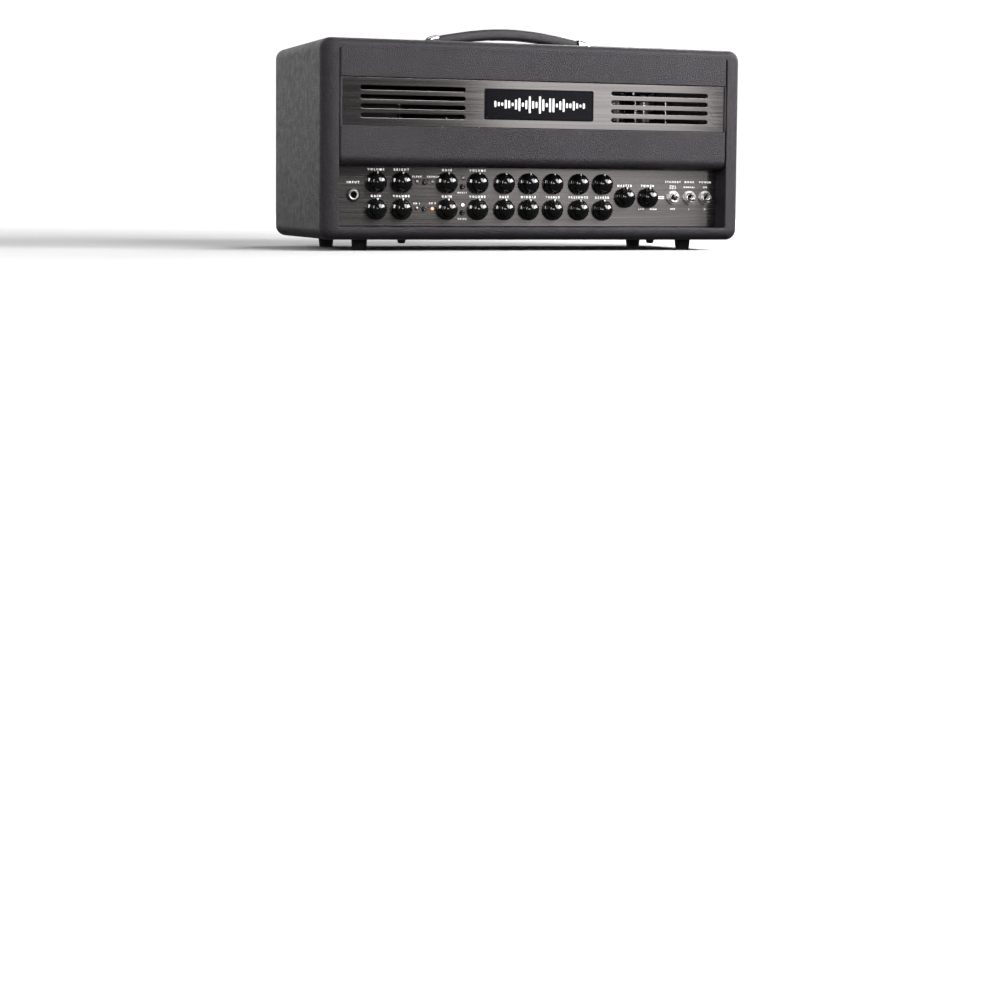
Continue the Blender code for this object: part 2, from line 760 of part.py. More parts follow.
def make_mains_inlet():
    """Appliance inlet: outer flange, body through the chassis back, cavity and three pins."""
    flange_depth = 0.0025

    def flange(bm):
        add_block(bm, (-0.0250, GAP, -0.0160), (0.0250, GAP + flange_depth, 0.0160))
        sides = [edge for edge in bm.edges if abs(edge.verts[0].co.y - edge.verts[1].co.y) > 0.001]
        round_edges(bm, sides, 0.005, 3)

    def body(bm):
        add_block(bm, (-0.0145, -0.0240, -0.0125), (0.0145, GAP + 0.001, 0.0125))

    def cavity(bm):
        add_block(bm, (-0.0120, -0.0150, -0.0085), (0.0120, 0.0100, 0.0085))

    def pins(bm):
        for along, up in ((-0.0070, -0.0020), (0.0070, -0.0020), (0.0, 0.0020)):
            add_block(
                bm, (along - 0.0010, -0.0160, up - 0.0020), (along + 0.0010, -0.0020, up + 0.0020)
            )

    mesh = mesh_of("mains_inlet", flange)
    place_of = (INLET_PLACE[0], CHASSIS_BACK, INLET_PLACE[1])
    piece = place("mains_inlet", mesh, (BLACK_STEEL, 0.45), place_of)
    shape_with(piece, "UNION", body)
    shape_with(piece, "DIFFERENCE", cavity)
    shape_with(piece, "UNION", pins)


def make_rear_grille():
    """Slotted steel cover over the upper part of the back opening."""
    centre_z = (GRILLE_BOTTOM + GRILLE_TOP) / 2
    half_height = (GRILLE_TOP - GRILLE_BOTTOM) / 2
    edge = INNER_X - 0.0005
    outlines = [rectangle(-edge, -half_height, edge, half_height)]
    for up in GRILLE_ROWS:
        for along in GRILLE_COLUMNS:
            hole = slot(along, up - centre_z, GRILLE_SLOT_LENGTH, GRILLE_SLOT_HEIGHT, 3)
            outlines.append(hole)
    mesh = sheet_mesh("rear_grille", outlines, SHEET)
    middle = (0, CHASSIS_BACK + SHEET / 2, centre_z)
    place("rear_grille", mesh, (BLACK_STEEL, 0.45, 0.8), middle, FACING_FRONT)


# ---------------------------------------------------------------- feet, bolts and handle
def make_feet():
    """Tapered rubber feet with a recess for the screw."""
    top = FOOT_HEIGHT - GAP
    profile = [
        (0, top),
        (0.0095, top),
        (0.0083, 0.0006),
        (0.0078, 0.0),
        (0.0035, 0.0),
        (0.0035, 0.0070),
        (0, 0.0070),
    ]
    for side, along in zip(("left", "right"), FOOT_COLUMNS):
        for end, across in zip(("front", "rear"), FOOT_ROWS):
            turned(f"foot_{end}_{side}", profile, 16, (RUBBER, 0.75), (along, across, 0))


def make_bolts():
    """Bolts that hold the chassis from below, with round heads under the cabinet."""
    shank_top = INNER_BOTTOM + 0.006
    head_bottom = CABINET_BOTTOM - 0.0050
    profile = [
        (0, shank_top),
        (BOLT_RADIUS, shank_top),
        (BOLT_RADIUS, CABINET_BOTTOM - GAP),
        (0.0060, CABINET_BOTTOM - GAP),
        (0.0060, head_bottom + 0.0012),
        (0.0045, head_bottom),
        (0, head_bottom),
    ]
    for side, along in zip(("left", "right"), BOLT_COLUMNS):
        for end, across in zip(("front", "rear"), BOLT_ROWS):
            spot = (along, across, 0)
            turned(f"chassis_bolt_{end}_{side}", profile, 12, (CHROME, 0.3, 1.0), spot)


def make_handle_caps():
    """Wedge-shaped chrome covers, hollow underneath and open towards the strap."""
    length = HANDLE_HALF_LENGTH - CAP_MOUTH

    def wedge(bm, grow, mouth_reach, floor):
        """The cap's outer form for grow = 0, or its cavity, grow smaller all round."""
        half = CAP_WIDTH / 2 - grow
        verts = add_block(bm, (-mouth_reach, -half, floor), (length - grow, half, 1.0))
        slope = (CAP_MOUTH_HEIGHT - CAP_END_HEIGHT) / length
        for vert in verts:
            if vert.co.z > 0.5:
                vert.co.z = CAP_MOUTH_HEIGHT - slope * vert.co.x - grow

    def body(bm):
        wedge(bm, 0.0, 0.0, 0.0)
        crown = edges_between(bm, lambda point: point.z > 0.001)
        outer = [edge for edge in crown if max(vert.co.x for vert in edge.verts) > 0.001]
        corners = [
            edge for edge in bm.edges
            if all(vert.co.x > length - 0.001 for vert in edge.verts)
            and abs(edge.verts[0].co.z - edge.verts[1].co.z) > 0.001
        ]
        round_edges(bm, list(set(outer + corners)), 0.0045, 4)

    def cavity(bm):
        wedge(bm, CAP_WALL, 0.010, -0.010)
        crown = edges_between(bm, lambda point: point.z > 0.001)
        outer = [edge for edge in crown if max(vert.co.x for vert in edge.verts) > 0.001]
        round_edges(bm, outer, 0.0035, 3)

    for name, side in (("handle_cap_left", -1), ("handle_cap_right", 1)):
        spot = (side * CAP_MOUTH, HANDLE_Y, CABINET_TOP + GAP)
        turn = (0, 0, 0 if side > 0 else math.pi)
        piece = place(name, mesh_of(name, body), (CHROME, 0.12, 1.0), spot, turn)
        shape_with(piece, "DIFFERENCE", cavity)


def strap_section(along):
    """Bottom, top and half width of the strap, above the cabinet top, at a distance along X."""
    reach = abs(along)
    if reach < STRAP_SHOULDER + 0.0001:
        arch = math.cos(math.pi / 2 * reach / CAP_MOUTH)
        bottom = STRAP_END_BOTTOM + STRAP_BOTTOM_RISE * arch
        return bottom, STRAP_END_TOP + STRAP_TOP_RISE * arch, STRAP_WIDTH / 2
    bottom = 0.0030 - 0.0010 * (reach - CAP_MOUTH) / (TONGUE_END - CAP_MOUTH)
    return bottom, bottom + TONGUE_THICKNESS, TONGUE_WIDTH / 2


def make_handle_strap():
    """Arched strap with a thin tongue at each end, which has room to lift inside its cap."""
    steps = 12
    step_length = 2 * STRAP_SHOULDER / steps
    stations = [-STRAP_SHOULDER + step_length * step for step in range(steps + 1)]
    stations = [-STRAP_SHOULDER - 0.0002, *stations, STRAP_SHOULDER + 0.0002]

    def body(bm):
        add_block(bm, (-TONGUE_END, -1.0, -1.0), (TONGUE_END, 1.0, 1.0))
        for along in stations:
            geometry = list(bm.verts) + list(bm.edges) + list(bm.faces)
            bmesh.ops.bisect_plane(
                bm, geom=geometry, plane_co=(along, 0, 0), plane_no=(1, 0, 0), dist=0.00001
            )
        for vert in bm.verts:
            low, high, half_width = strap_section(vert.co.x)
            vert.co.y = math.copysign(half_width, vert.co.y)
            vert.co.z = high if vert.co.z > 0 else low
        lengthwise = [
            edge for edge in bm.edges
            if abs(edge.verts[0].co.x - edge.verts[1].co.x) > 0.001
            and max(abs(vert.co.x) for vert in edge.verts) < STRAP_SHOULDER + 0.0001
        ]
        round_edges(bm, lengthwise, 0.0035, 2)

    mesh = mesh_of("handle_strap", body)
    place("handle_strap", mesh, (VINYL, 0.6), (0, HANDLE_Y, CABINET_TOP))


make_cabinet_shell()
make_front_rails()
make_vent_plate()
make_badge_plate()
make_control_panel()
make_knobs()
make_buttons()
make_toggle_levers()
make_toggle_switch_board()
make_control_board()
make_input_jack()
make_chassis()
make_valve_board()
make_valves()
make_transformer("power_supply", POWER_SUPPLY_PLACE, (0.088, 0.078, 0.078))
make_transformer("output_transformer", OUTPUT_TRANSFORMER_PLACE, (0.064, 0.056, 0.056))
make_rear_jack_board()
make_mains_inlet()
make_rear_grille()
make_feet()
make_bolts()
make_handle_caps()
make_handle_strap()
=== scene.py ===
"""Looks of a compact valve guitar amplifier head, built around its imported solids.

Metres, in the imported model's frame: +X along the width, -Y towards the player, +Z up.
"""

from math import copysign, cos, exp, pi, radians, sin, tau

import bmesh
import bpy
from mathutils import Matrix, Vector


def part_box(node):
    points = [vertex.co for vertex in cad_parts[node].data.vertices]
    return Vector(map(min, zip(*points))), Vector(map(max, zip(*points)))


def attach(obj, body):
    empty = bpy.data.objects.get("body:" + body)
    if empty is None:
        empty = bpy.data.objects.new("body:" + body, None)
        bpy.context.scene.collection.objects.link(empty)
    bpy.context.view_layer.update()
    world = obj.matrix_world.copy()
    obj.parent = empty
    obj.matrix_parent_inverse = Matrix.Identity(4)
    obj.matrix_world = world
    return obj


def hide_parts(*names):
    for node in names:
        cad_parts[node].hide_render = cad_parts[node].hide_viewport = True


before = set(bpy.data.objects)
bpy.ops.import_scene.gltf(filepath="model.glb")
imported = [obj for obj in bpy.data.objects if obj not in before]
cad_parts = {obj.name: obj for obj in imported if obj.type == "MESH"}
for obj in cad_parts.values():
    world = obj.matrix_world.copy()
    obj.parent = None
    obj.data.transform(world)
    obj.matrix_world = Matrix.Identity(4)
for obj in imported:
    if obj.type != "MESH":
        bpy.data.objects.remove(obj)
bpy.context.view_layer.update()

# --- sizes taken from the frame
SHELL_LOW, SHELL_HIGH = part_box("cabinet_shell")
UPPER_LOW, UPPER_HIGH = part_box("front_rail_upper")
LOWER_LOW, LOWER_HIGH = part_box("front_rail_lower")
VENT_LOW, VENT_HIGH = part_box("vent_plate")
BADGE_LOW, BADGE_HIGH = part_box("badge_plate")
PANEL_LOW, PANEL_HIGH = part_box("control_panel")
GRILLE_LOW, GRILLE_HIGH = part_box("rear_grille")
CHASSIS_LOW, CHASSIS_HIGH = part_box("chassis")
STRAP_LOW, STRAP_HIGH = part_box("handle_strap")

FRONT = SHELL_LOW.y
OPENING_LEFT = -0.2438
OPENING_RIGHT = 0.2448
INNER_BOTTOM = SHELL_LOW.z + 0.015
INNER_TOP = SHELL_HIGH.z - 0.012
PLATE_LEFT = -0.2405
PLATE_RIGHT = 0.2418
EDGE_RADIUS = 0.013
FACE_CORNER = 0.0045
EDGE_REACH = (0.017, 0.011, 0.017, 0.0085)
RIM_REACH = (0.0009, 0.0026, 0.0012, 0.0002)
RIM_DEPTH = 0.0016
RAIL_END = 0.0028
FACING_FRONT = (0, -1, 0)
FACING_BACK = (0, 1, 0)
UP = (0, 0, 1)


def centre_of(node):
    """The middle of a node's box."""
    low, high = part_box(node)
    return (low + high) / 2


def nodes_called(start):
    """The nodes whose names begin with start."""
    return [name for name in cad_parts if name.startswith(start)]


# --- materials
class Look:
    """A Principled material with short calls for the nodes that feed it."""

    def __init__(self, name, colour, roughness, metallic=0.0, **sockets):
        self.material = bpy.data.materials.new(name)
        self.material.use_nodes = True
        self.tree = self.material.node_tree
        self.shader = self.tree.nodes["Principled BSDF"]
        self.shader.inputs["Base Color"].default_value = (*colour, 1.0)
        self.shader.inputs["Roughness"].default_value = roughness
        self.shader.inputs["Metallic"].default_value = metallic
        for socket, value in sockets.items():
            self.shader.inputs[socket.replace("_", " ")].default_value = value
        self.place = self.tree.nodes.new("ShaderNodeTexCoord").outputs["Object"]

    def node(self, kind, **sockets):
        """A new node, each named input set to a constant or linked to an output."""
        made = self.tree.nodes.new(f"ShaderNode{kind}")
        for name, value in sockets.items():
            socket = made.inputs[name.replace("_", " ")]
            if isinstance(value, bpy.types.NodeSocket):
                self.tree.links.new(value, socket)
            else:
                socket.default_value = value
        return made

    def feed(self, value, socket):
        """Link an output to the shader."""
        self.tree.links.new(value, self.shader.inputs[socket])

    def stretched(self, scale):
        """Object coordinates multiplied by a scale on each axis."""
        return self.node("Mapping", Vector=self.place, Scale=scale).outputs["Vector"]

    def noise(self, scale, detail=3.0, source=None):
        place = source or self.place
        return self.node("TexNoise", Vector=place, Scale=scale, Detail=detail).outputs["Fac"]

    def cells(self, scale, feature="F1"):
        texture = self.node("TexVoronoi", Vector=self.place, Scale=scale)
        texture.feature = feature
        return texture.outputs["Distance"]

    def ranged(self, value, low, high, start=0.3, end=0.7):
        """Value stretched from start..end to low..high."""
        step = self.node("MapRange", Value=value, From_Min=start, From_Max=end, To_Min=low, To_Max=high)
        return step.outputs["Result"]

    def added(self, first, second):
        step = self.node("Math", Value=first)
        step.operation = "ADD"
        self.tree.links.new(second, step.inputs[1])
        return step.outputs["Value"]

    def tint(self, value, dark, light, start=0.3, end=0.7):
        """Base colour between two colours."""
        ramp = self.node("ValToRGB", Fac=value)
        for stop, place, colour in zip(ramp.color_ramp.elements, (start, end), (dark, light)):
            stop.position = place
            stop.color = (*colour, 1.0)
        self.feed(ramp.outputs["Color"], "Base Color")

    def rough(self, value, low, high):
        self.feed(self.ranged(value, low, high), "Roughness")

    def relief(self, height, depth):
        bump = self.node("Bump", Height=height, Distance=depth, Strength=1.0)
        self.feed(bump.outputs["Normal"], "Normal")


def vinyl_look(name, dark, light, grain, depth, shine):
    """Leather-grained vinyl cloth: pebbles with a finer grain on them, and faint patches."""
    look = Look(name, light, 0.5, Specular_IOR_Level=shine)
    pebbles = look.cells(grain)
    fine = look.noise(grain * 1.8, 4.0)
    patches = look.noise(9.0, 4.0)
    look.tint(look.added(look.ranged(patches, 0.0, 0.3), look.ranged(fine, 0.0, 0.7)), dark, light)
    look.rough(look.noise(120.0), 0.36, 0.5)
    height = look.added(look.ranged(pebbles, 0.0, 1.0, 0.0, 0.9), look.ranged(fine, 0.0, 0.5))
    look.relief(height, depth)
    return look.material


def brushed_look(name, dark, light, roughness, streaks):
    """Metal brushed along X: long fine streaks in tone, gloss and relief."""
    look = Look(name, light, roughness, 1.0, Anisotropic=0.55)
    grain = look.node("Tangent")
    grain.direction_type = "RADIAL"
    grain.axis = "X"
    look.feed(grain.outputs["Tangent"], "Tangent")
    lines = look.noise(1.0, 6.0, look.stretched((6.0, 900.0, 900.0)))
    broad = look.noise(1.0, 3.0, look.stretched((2.5, 60.0, 240.0)))
    look.tint(look.added(look.ranged(lines, 0.0, 0.75), look.ranged(broad, 0.0, 0.25)), dark, light)
    look.rough(lines, roughness - 0.04, roughness + 0.05)
    look.relief(lines, streaks)
    return look.material


def painted_look(name, colour, roughness, orange_peel):
    """Paint or powder coat with a fine orange peel."""
    look = Look(name, colour, roughness)
    patches = look.noise(40.0, 4.0)
    look.tint(patches, [part * 0.75 for part in colour], [part * 1.25 for part in colour])
    look.rough(look.noise(260.0), roughness - 0.06, roughness + 0.08)
    look.relief(look.noise(1400.0, 2.0), orange_peel)
    return look.material


def gloss_look(name, colour, roughness, **sockets):
    """Moulded gloss plastic with faint handling marks."""
    look = Look(name, colour, roughness, **sockets)
    marks = look.noise(1.0, 5.0, look.stretched((70.0, 500.0, 500.0)))
    look.tint(look.noise(90.0), [part * 0.8 for part in colour], [part * 1.3 for part in colour])
    look.rough(marks, roughness * 0.7, roughness * 1.5)
    look.relief(look.noise(600.0, 2.0), 0.000004)
    return look.material


def plated_look(name, colour, roughness, wear):
    """Plated metal: nearly even, with faint smears and a fine unevenness."""
    look = Look(name, colour, roughness, 1.0)
    smears = look.noise(55.0, 5.0)
    look.tint(smears, [part * 0.86 for part in colour], colour)
    look.rough(look.noise(180.0, 5.0), roughness, roughness + wear)
    look.relief(look.noise(900.0, 2.0), 0.000006)
    return look.material


def board_look(name):
    """Green solder mask with copper runs showing through as paler bands."""
    look = Look(name, (0.03, 0.16, 0.07), 0.4)
    runs = look.cells(170.0, "DISTANCE_TO_EDGE")
    look.tint(runs, (0.05, 0.22, 0.09), (0.015, 0.1, 0.04), 0.04, 0.1)
    look.rough(look.noise(200.0), 0.3, 0.5)
    look.relief(runs, 0.00005)
    return look.material


def glass_look(name):
    look = Look(name, (0.96, 0.98, 0.97), 0.02, IOR=1.47, Transmission_Weight=1.0)
    look.rough(look.noise(60.0), 0.0, 0.05)
    return look.material


def lamp_look(name, colour, glow):
    """Lamp lens: a milky dome, glowing from inside when lit."""
    look = Look(name, colour, 0.25, Emission_Color=(*colour, 1.0), Emission_Strength=glow)
    look.tint(look.noise(900.0), [part * 0.85 for part in colour], colour)
    look.relief(look.noise(1500.0), 0.00001)
    return look.material


def paint_look(name, colour, glow=0.0):
    # A glow above zero is painted light: the print emits light though it is no lamp.
    look = Look(name, colour, 0.45, Emission_Color=(*colour, 1.0), Emission_Strength=glow)
    look.tint(look.noise(700.0), [part * 0.9 for part in colour], colour)
    look.relief(look.noise(2500.0), 0.000008)
    return look.material


VINYL = vinyl_look("vinyl", (0.018, 0.0158, 0.019), (0.0305, 0.0266, 0.0322), 820.0, 0.00042, 0.31)
STRAP_VINYL = vinyl_look("strap_vinyl", (0.02, 0.018, 0.02), (0.033, 0.03, 0.033), 800.0, 0.00034, 0.36)
VENT_METAL = brushed_look("vent_metal", (0.225, 0.211, 0.21), (0.29, 0.272, 0.268), 0.155, 0.0000025)
PANEL_METAL = brushed_look("panel_metal", (0.205, 0.192, 0.19), (0.265, 0.248, 0.244), 0.24, 0.000003)
BADGE_GLOSS = gloss_look("badge_gloss", (0.003, 0.003, 0.005), 0.16, Specular_IOR_Level=0.13)
KNOB_PLASTIC = gloss_look("knob_plastic", (0.003, 0.003, 0.0035), 0.06, Specular_IOR_Level=0.6)
BUTTON_PLASTIC = gloss_look("button_plastic", (0.02, 0.02, 0.022), 0.25)
NICKEL = plated_look("switch_nickel", (0.84, 0.81, 0.78), 0.3, 0.1)
SOCKET_BLACK = painted_look("socket_black", (0.012, 0.012, 0.013), 0.38, 0.00002)
CHROME = plated_look("chrome", (0.9, 0.9, 0.91), 0.05, 0.06)
SATIN_CHROME = plated_look("satin_chrome", (0.93, 0.92, 0.91), 0.4, 0.05)
STEEL = plated_look("zinc_steel", (0.6, 0.6, 0.62), 0.28, 0.16)
CHASSIS_PAINT = painted_look("chassis_steel", (0.025, 0.025, 0.027), 0.42, 0.00005)
GRILLE_PAINT = painted_look("grille_steel", (0.018, 0.018, 0.02), 0.45, 0.00006)
COVER_PAINT = painted_look("transformer_steel", (0.02, 0.02, 0.022), 0.33, 0.00004)
# Dark lamination steel, its colour darkened further as painted shade for the dark inside of the
# cabinet.
LAMINATION_WITH_PAINTED_SHADE = plated_look("lamination_steel_and_painted_shade", (0.11, 0.105, 0.1), 0.45, 0.2)
RUBBER = painted_look("rubber_foot", (0.014, 0.014, 0.014), 0.7, 0.00008)
BOARD = board_look("circuit_board")
GLASS = glass_look("tube_glass")
BAKELITE = painted_look("valve_base", (0.02, 0.016, 0.014), 0.3, 0.00002)
GETTER = plated_look("getter_silver", (0.75, 0.76, 0.78), 0.12, 0.1)
ANODE = painted_look("anode_grey", (0.11, 0.11, 0.12), 0.55, 0.00005)
MICA = painted_look("mica_disc", (0.62, 0.6, 0.55), 0.35, 0.00002)
WHITE_PAINT = paint_look("white_paint", (0.9, 0.9, 0.88))
# Panel print with a painted glow, so the words read bright in the shade under the upper board.
PANEL_PAINT_PAINTED_GLOW = paint_look("panel_paint_painted_glow", (0.95, 0.94, 0.92), 0.85)
LAMP_RED = lamp_look("lamp_red", (1.0, 0.2, 0.11), 4.5)
LAMP_WHITE = lamp_look("lamp_white", (1.0, 0.97, 0.92), 3.0)
LAMP_OFF = lamp_look("lamp_off", (0.72, 0.68, 0.62), 0.0)


# --- mesh helpers
def placed(name, data):
    """A new object in the scene."""
    item = bpy.data.objects.new(name, data)
    bpy.context.scene.collection.objects.link(item)
    return item


def piece_of(name, bm, look, stands_for=None, body="cabinet", sharp=40):
    """A finished piece from bm: shaded smooth up to a sharp angle, riding on its body."""
    mesh = bpy.data.meshes.new(name)
    bmesh.ops.recalc_face_normals(bm, faces=bm.faces)
    bm.to_mesh(mesh)
    bm.free()
    mesh.materials.append(look)
    mesh.shade_smooth()
    mesh.set_sharp_from_angle(angle=radians(sharp))
    piece = placed(name, mesh)
    even = piece.modifiers.new("Even", "WEIGHTED_NORMAL")
    even.keep_sharp = True
    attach(piece, body)
    if stands_for:
        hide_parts(stands_for)


def mm(*points):
    """Points given in millimetres, as metres."""
    return [tuple(part / 1000 for part in point) for point in points]


def quarter(steps):
    """Sine and cosine at even steps from 0 to 90 degrees."""
    angles = [pi / 2 * step / steps for step in range(steps + 1)]
    return [(sin(angle), cos(angle)) for angle in angles]


def bridge(bm, ring, following):
    """Faces between two rings, either of which may be a single point."""
    count = max(len(ring), len(following))
    for step in range(count):
        after = (step + 1) % count
        if len(ring) == 1:
            bm.faces.new((ring[0], following[step], following[after]))
        elif len(following) == 1:
            bm.faces.new((ring[step], following[0], ring[after]))
        else:
            bm.faces.new((ring[step], following[step], following[after], ring[after]))


def loft(bm, sections, closed=False):
    """Rings of vertices through sections of points, joined in turn."""
    rings = [[bm.verts.new(point) for point in section] for section in sections]
    for ring, following in zip(rings, rings[1:]):
        bridge(bm, ring, following)
    if closed:
        bridge(bm, rings[-1], rings[0])
    return rings


def add_capped(bm, sections):
    """A loft closed at both ends."""
    rings = loft(bm, sections)
    bm.faces.new(rings[0])
    bm.faces.new(rings[-1])


def add_turned(bm, profile, centre, axis, steps=32, closed=False, flats=None):
    """A body turned round an axis from (radius, height) pairs; flats cuts it to a hexagon."""
    axis = Vector(axis)
    side = axis.orthogonal().normalized()
    other = axis.cross(side)
    sections = []
    for radius, height in profile:
        middle = Vector(centre) + axis * height
        if radius == 0:
            sections.append([middle])
            continue
        ring = []
        for step in range(steps):
            angle = tau * step / steps
            reach = radius
            if flats:
                from_flat = (angle + pi / 6) % (pi / 3) - pi / 6
                reach = min(radius, flats / 2 / cos(from_flat))
            ring.append(middle + reach * (cos(angle) * side + sin(angle) * other))
        sections.append(ring)
    loft(bm, sections, closed)


def turned(*shape, **options):
    """A new mesh with one turned body."""
    bm = bmesh.new()
    add_turned(bm, *shape, **options)
    return bm


def add_box(bm, low, high, radius=0.0, segments=2):
    """A box between two corners, its edges rounded."""
    made = bmesh.ops.create_cube(bm, size=1.0)["verts"]
    for vert in made:
        vert.co = [(low[i] + high[i]) / 2 + vert.co[i] * (high[i] - low[i]) for i in range(3)]
    if radius:
        edges = list(dict.fromkeys(edge for vert in made for edge in vert.link_edges))
        bmesh.ops.bevel(bm, geom=edges, offset=radius, segments=segments, profile=0.5, affect="EDGES")


def rounded_outline(left, bottom, right, top, radius, steps):
    """Points round a rectangle with round corners, counter-clockwise."""
    points = []
    corners = (
        (right - radius, top - radius, 0), (left + radius, top - radius, 1),
        (left + radius, bottom + radius, 2), (right - radius, bottom + radius, 3),
    )
    for x, z, quarter in corners:
        for step in range(steps + 1):
            angle = pi / 2 * (quarter + step / steps)
            points.append((x + radius * cos(angle), z + radius * sin(angle)))
    return points


def circle(x, z, radius, steps=24):
    turn = tau / steps
    return [(x + radius * cos(turn * i), z + radius * sin(turn * i)) for i in range(steps)]


def mesh_of(curve):
    """The mesh a curve makes."""
    guide = placed("guide", curve)
    evaluated = guide.evaluated_get(bpy.context.evaluated_depsgraph_get())
    mesh = bpy.data.meshes.new_from_object(evaluated)
    bpy.data.objects.remove(guide)
    return mesh


def across_y(outline, *depths):
    """The same (x, z) outline at each depth along Y."""
    return [[(x, y, z) for x, z in outline] for y in depths]


def add_sheet(bm, outlines, front_y, thickness, edge, facing=-1):
    """A sheet across Y from (x, z) outlines, the first its rim and the rest holes.

    Its outer face is at front_y and looks along facing; the edges of that face are broken.
    """
    curve = bpy.data.curves.new("sheet", "CURVE")
    curve.dimensions = "2D"
    curve.fill_mode = "BOTH"
    curve.extrude = thickness / 2
    for outline in outlines:
        spline = curve.splines.new("POLY")
        spline.points.add(len(outline) - 1)
        for point, (x, z) in zip(spline.points, outline):
            point.co = (x, z, 0, 1)
        spline.use_cyclic_u = True
    mesh = mesh_of(curve)
    flat = bmesh.new()
    flat.from_mesh(mesh)
    bmesh.ops.remove_doubles(flat, verts=flat.verts, dist=0.000005)
    for vert in flat.verts:
        x, z, through = vert.co
        vert.co = (x, front_y - facing * thickness / 2 + facing * through, z)
    bmesh.ops.recalc_face_normals(flat, faces=flat.faces)
    rim = [
        item for item in flat.edges
        if all(abs(vert.co.y - front_y) < 0.00001 for vert in item.verts)
        and any(abs(face.normal.y) < 0.5 for face in item.link_faces)
    ]
    bmesh.ops.bevel(flat, geom=rim, offset=edge, segments=2, profile=0.5, affect="EDGES")
    flat.to_mesh(mesh)
    flat.free()
    bm.from_mesh(mesh)
    bpy.data.meshes.remove(mesh)


def add_words(bm, body, x, z, size, y, facing=-1):
    """Painted words centred on x and z, standing on a plane across Y."""
    curve = bpy.data.curves.new("words", "FONT")
    curve.body = body
    curve.size = size
    curve.align_x = "CENTER"
    curve.align_y = "CENTER"
    curve.space_character = 1.8
    curve.space_line = 1.05
    curve.resolution_u = 2
    curve.offset = size * 0.042
    curve.extrude = 0.00003
    mesh = mesh_of(curve)
    for vert in mesh.vertices:
        across, up, out = vert.co
        vert.co = (x - facing * across, y + facing * out, z + up)
    bm.from_mesh(mesh)
    bpy.data.meshes.remove(mesh)


def add_screw(bm, spot, axis, radius=0.0032, height=0.0016):
    """A pan-head screw with a recess in its head, its seat at spot."""
    profile = [
        (0, height * 0.35), (radius * 0.16, height * 0.35), (radius * 0.3, height * 0.96),
        (radius * 0.62, height * 0.92), (radius * 0.9, height * 0.6), (radius, height * 0.22),
        (radius, 0), (0, 0),
    ]
    add_turned(bm, profile, spot, axis, 24)


# --- cabinet
def sleeve_ring(y, insets, corner):
    """A rounded rectangle across the sleeve at y, set in from its left, bottom, right and top."""
    left, bottom, right, top = insets
    outline = rounded_outline(
        SHELL_LOW.x + left, SHELL_LOW.z + bottom, SHELL_HIGH.x - right, SHELL_HIGH.z - top, corner, 8
    )
    return across_y(outline, y)[0]


def sleeve_rings():
    """Rings from the middle of the outside, round the front edge and back inside."""
    rings = []
    for share in (0.0, 0.5, 0.85):
        rings.append(sleeve_ring(share * (FRONT + 0.018), (0, 0, 0, 0), EDGE_RADIUS))
    for rise, run in quarter(10):
        share = 1 - run
        insets = [share * reach for reach in EDGE_REACH]
        corner = EDGE_RADIUS - share * (EDGE_RADIUS - FACE_CORNER)
        rings.append(sleeve_ring(FRONT + EDGE_RADIUS * (1 - rise), insets, corner))
    wall = (
        OPENING_LEFT - SHELL_LOW.x, INNER_BOTTOM - SHELL_LOW.z,
        SHELL_HIGH.x - OPENING_RIGHT, SHELL_HIGH.z - INNER_TOP,
    )
    for rise, run in quarter(5):
        insets = [reach - edge * (1 - rise) for reach, edge in zip(wall, RIM_REACH)]
        rings.append(sleeve_ring(FRONT + RIM_DEPTH * (1 - run), insets, 0.0018))
    for y in (FRONT + 0.03, 0.0):
        rings.append(sleeve_ring(y, wall, 0.0012))
    return rings


def make_cabinet():
    """Vinyl-covered sleeve, its front and back edges alike."""
    front = sleeve_rings()
    back = [[(x, -y, z) for x, y, z in ring] for ring in reversed(front[1:-1])]
    bm = bmesh.new()
    loft(bm, front + back, closed=True)
    piece_of("cabinet_covering", bm, VINYL, "cabinet_shell", sharp=80)


def rounded_bar(bm, profile, left, right, radius, draws):
    """A bar along X from its (y, z) profile, its ends rounded towards the front.

    draws says for each profile point how far it draws back in y and z at the very end.
    """
    stations = [(radius * (1 - rise), radius * (1 - run)) for rise, run in quarter(5)]
    places = [(left + along, back) for along, back in stations[::-1]]
    places += [(right - along, back) for along, back in stations]
    add_capped(bm, [
        [(x, y + back * draw[0], z + back * draw[1]) for (y, z), draw in zip(profile, draws)]
        for x, back in places
    ])


